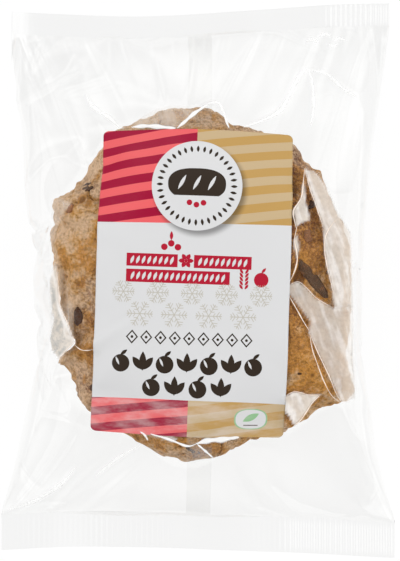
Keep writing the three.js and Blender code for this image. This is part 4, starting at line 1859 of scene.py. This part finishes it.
def add_label(scene):
    """The paper label, closed all round, on the film where that lies over the loaf."""
    label = LabelShape(scene.bread_label)
    top = film_grid()[:, :, : FINE_ACROSS + 1]
    half_length = label.length / 2
    rise = np.linspace(-half_length, half_length, LABEL_ROWS)
    corner = half_length - label.corner * (1 - np.sin(np.linspace(0, np.pi / 2, CORNER_ROWS)))
    rise = np.unique(np.round(np.concatenate([rise, corner, -corner]), 4))
    over = np.maximum(np.abs(rise) - (half_length - label.corner), 0)
    reach = label.width / 2 - label.corner + np.sqrt(label.corner**2 - over**2)
    share = np.linspace(-1, 1, LABEL_COLUMNS)
    up, aside = np.broadcast_arrays(rise[:, None], reach[:, None] * share[None])
    bag_width = scene.bread_bag.flat_width / MM
    flat, along = label.film_place(aside, up)
    sheet = read_grid(top, (along / TOP_LENGTH + 0.5) * FINE_ALONG, (flat / bag_width + 0.5) * FINE_ACROSS)
    upper = sheet.copy()
    upper[2] += LABEL_LIFT + LABEL_THICK
    sheet[2] += LABEL_LIFT
    rows = len(rise)
    count = rows * LABEL_COLUMNS
    front = grid_faces(rows, LABEL_COLUMNS)
    index = np.arange(count).reshape(rows, LABEL_COLUMNS)
    rim = np.concatenate([index[0], index[1:, -1], index[-1, -2::-1], index[-2:0:-1, 0]])
    after = np.roll(rim, -1)
    walls = np.stack([rim, rim + count, after + count, after], -1)
    points = np.concatenate([upper.reshape(3, -1).T, sheet.reshape(3, -1).T])
    piece = add_mesh("label_sheet", points, front, front[:, ::-1] + count, walls)
    print_map = piece.data.uv_layers.new(name="print")
    places = np.stack([aside / label.width + 0.5, up / label.length + 0.5], -1).reshape(-1, 2)
    corners = np.empty(len(piece.data.loops), np.int32)
    piece.data.loops.foreach_get("vertex_index", corners)
    print_map.uv.foreach_set("vector", places[corners % count].astype(np.float32).ravel())
    finish_piece(piece, label_material(scene.bread_label))
    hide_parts("label")


# ------------------------------------------------------------------- stage

FLOOR_Z = -0.3
FLOOR_SIZE = 12000
FLOOR_GLOW = 0.96  # the floor is a lit table, so that it shows no hard shadow
SKY_SIDE = 0.35
SKY_TOP = 0.12
SKY_GLOWS = [  # direction, strength and how tightly it is gathered
    ((1.0, 0.1, 0.6), 1.3, 9),
    ((-0.1, 1.0, 0.7), 1.0, 6),
    ((-1.0, -0.1, 0.75), 1.1, 12),
    ((0.0, -1.0, 0.6), 0.45, 8),
]
LAMPS = [  # name, place, width and length in metres, power
    ("over", (-0.8, 0.15, 1.2), (0.8, 0.8), 11.0),
    ("right_box", (1.0, -0.05, 0.55), (1.0, 0.9), 6.0),
]
SENSOR = 36
VIEW_MARGIN = 1.0106  # how much longer the view is than the bag


def floor_material(settings):
    """A pale table, lit from within so that it shows no hard shadow."""
    finish = Finish("floor")
    place = finish.place()
    tone = finish.noise(place, size=300, detail=2) * 0.02
    colour = finish.mix(tone, (0.02, 0.02, 0.02), settings.floor)
    return finish.surface(
        Base_Color=colour, Roughness=0.9, Emission_Color=settings.floor, Emission_Strength=FLOOR_GLOW
    )


def sky_glow(tree, direction, strength, tightness, toward):
    """Light that comes from about one direction of the sky."""
    node = tree.nodes.new("ShaderNodeVectorMath")
    node.operation = "DOT_PRODUCT"
    tree.links.new(toward.socket, node.inputs[0])
    node.inputs[1].default_value = Vector(direction).normalized()
    facing = Field(tree, node.outputs["Value"])
    return facing.either(0.0) ** tightness * strength


def make_sky(scene):
    """A dim studio round the pack, pale where the camera looks straight at it."""
    world = bpy.data.worlds.new("studio")
    scene.world = world
    world.use_nodes = True
    tree = world.node_tree
    toward = Field(tree, tree.nodes.new("ShaderNodeTexCoord").outputs["Generated"])
    parts = tree.nodes.new("ShaderNodeSeparateXYZ")
    tree.links.new(toward.socket, parts.inputs[0])
    light = Field(tree, parts.outputs[2]).either(0.0) * (SKY_TOP - SKY_SIDE) + SKY_SIDE
    for glow in SKY_GLOWS:
        light = light + sky_glow(tree, *glow, toward)
    seen = Field(tree, tree.nodes.new("ShaderNodeLightPath").outputs["Is Camera Ray"])
    light = light + seen * (FLOOR_GLOW - light)
    background = tree.nodes["Background"]
    background.inputs[0].default_value = (1, 1, 1, 1)
    tree.links.new(light.socket, background.inputs[1])


def add_lamp(scene, name, place, size, power):
    """A soft box that lights the pack. The film doesn't mirror it."""
    lamp = bpy.data.lights.new(name, "AREA")
    lamp.shape = "RECTANGLE"
    lamp.size, lamp.size_y = size
    lamp.energy = power
    holder = bpy.data.objects.new(name, lamp)
    scene.collection.objects.link(holder)
    holder.location = place
    holder.rotation_euler = (-Vector(place)).to_track_quat("-Z", "Y").to_euler()
    holder.visible_glossy = False


def add_camera(scene):
    """The view from above, which just holds the bag from end to end."""
    low, high = cad_bounds
    settings = scene.bread_stage
    camera = bpy.data.cameras.new("camera")
    camera.sensor_fit = "VERTICAL"
    camera.sensor_height = SENSOR
    camera.lens = SENSOR * (settings.distance - VIEW_Z) / ((high[1] - low[1]) * VIEW_MARGIN)
    camera.clip_end = 10
    holder = bpy.data.objects.new("camera", camera)
    scene.collection.objects.link(holder)
    holder.location = ((low[0] + high[0]) / 2 + settings.shift, (low[1] + high[1]) / 2, settings.distance)
    scene.camera = holder


def add_stage(scene):
    """Floor, sky, lamps and camera."""
    half = FLOOR_SIZE / 2
    corners = np.array([(-half, -half), (half, -half), (half, half), (-half, half)])
    points = np.column_stack([corners, np.full(4, FLOOR_Z)])
    floor = add_mesh("floor", points, np.array([[0, 1, 2, 3]]))
    floor.data.materials.append(floor_material(scene.bread_stage))
    make_sky(scene)
    for lamp in LAMPS:
        add_lamp(scene, *lamp)
    add_camera(scene)
    scene.view_settings.view_transform = "Standard"
    scene.cycles.transparent_max_bounces = 24


# --------------------------------------------------------------- operators


class Builder:
    """Makes one piece of the pack, or one group of them."""

    def execute(self, context):
        self.build(context.scene)
        return {"FINISHED"}


class BREAD_OT_add_film(Builder, bpy.types.Operator):
    """Drape the clear film of the bag round the loaf"""

    bl_idname = "bread.add_film"
    bl_label = "Add film"
    build = staticmethod(add_film)


class BREAD_OT_add_seals(Builder, bpy.types.Operator):
    """Add the crimped seals at both ends of the bag"""

    bl_idname = "bread.add_seals"
    bl_label = "Add end seals"
    build = staticmethod(add_seals)


class BREAD_OT_add_seam(Builder, bpy.types.Operator):
    """Add the seam along the back of the bag"""

    bl_idname = "bread.add_seam"
    bl_label = "Add back seam"
    build = staticmethod(add_seam)


class BREAD_OT_add_pleats(Builder, bpy.types.Operator):
    """Add the fine pleats along the film's sharpest creases"""

    bl_idname = "bread.add_pleats"
    bl_label = "Add pleats"
    build = staticmethod(add_pleats)


class BREAD_OT_add_loaf(Builder, bpy.types.Operator):
    """Add the loaf with its rough crust"""

    bl_idname = "bread.add_loaf"
    bl_label = "Add loaf"
    build = staticmethod(add_loaf)


class BREAD_OT_add_fruit(Builder, bpy.types.Operator):
    """Add the raisins and the pieces of dried fruit in the crust"""

    bl_idname = "bread.add_fruit"
    bl_label = "Add fruit"
    build = staticmethod(add_fruit)


class BREAD_OT_add_label(Builder, bpy.types.Operator):
    """Add the printed paper label on the film"""

    bl_idname = "bread.add_label"
    bl_label = "Add label"
    build = staticmethod(add_label)


class BREAD_OT_add_stage(Builder, bpy.types.Operator):
    """Add the floor, the light and the camera"""

    bl_idname = "bread.add_stage"
    bl_label = "Add stage"
    build = staticmethod(add_stage)


SETTINGS = {
    "bread_bag": BagSettings,
    "bread_loaf": LoafSettings,
    "bread_label": LabelSettings,
    "bread_stage": StageSettings,
}
OPERATORS = (
    BREAD_OT_add_film,
    BREAD_OT_add_seals,
    BREAD_OT_add_seam,
    BREAD_OT_add_pleats,
    BREAD_OT_add_loaf,
    BREAD_OT_add_fruit,
    BREAD_OT_add_label,
    BREAD_OT_add_stage,
)


class BREAD_PT_panel(bpy.types.Panel):
    """The pieces of the pack in the order in which they are made, and their settings"""

    bl_idname = "BREAD_PT_panel"
    bl_label = "Fruit Bread Pack"
    bl_space_type = "VIEW_3D"
    bl_region_type = "UI"
    bl_category = "Bread"

    def draw(self, context):
        for operator in OPERATORS:
            self.layout.operator(operator.bl_idname)
        for name, group in SETTINGS.items():
            column = self.layout.box().column()
            for setting in group.__annotations__:
                column.prop(getattr(context.scene, name), setting)


def register():
    for group in SETTINGS.values():
        bpy.utils.register_class(group)
    for kind in (*OPERATORS, BREAD_PT_panel):
        bpy.utils.register_class(kind)
    for name, group in SETTINGS.items():
        setattr(bpy.types.Scene, name, PointerProperty(type=group))


def unregister():
    for name in SETTINGS:
        delattr(bpy.types.Scene, name)
    for kind in reversed((*SETTINGS.values(), *OPERATORS, BREAD_PT_panel)):
        bpy.utils.unregister_class(kind)


def main():
    register()
    bpy.ops.bread.add_film()
    bpy.ops.bread.add_seals()
    bpy.ops.bread.add_seam()
    bpy.ops.bread.add_pleats()
    bpy.ops.bread.add_loaf()
    bpy.ops.bread.add_fruit()
    bpy.ops.bread.add_label()
    bpy.ops.bread.add_stage()


if __name__ == "__main__":
    main()
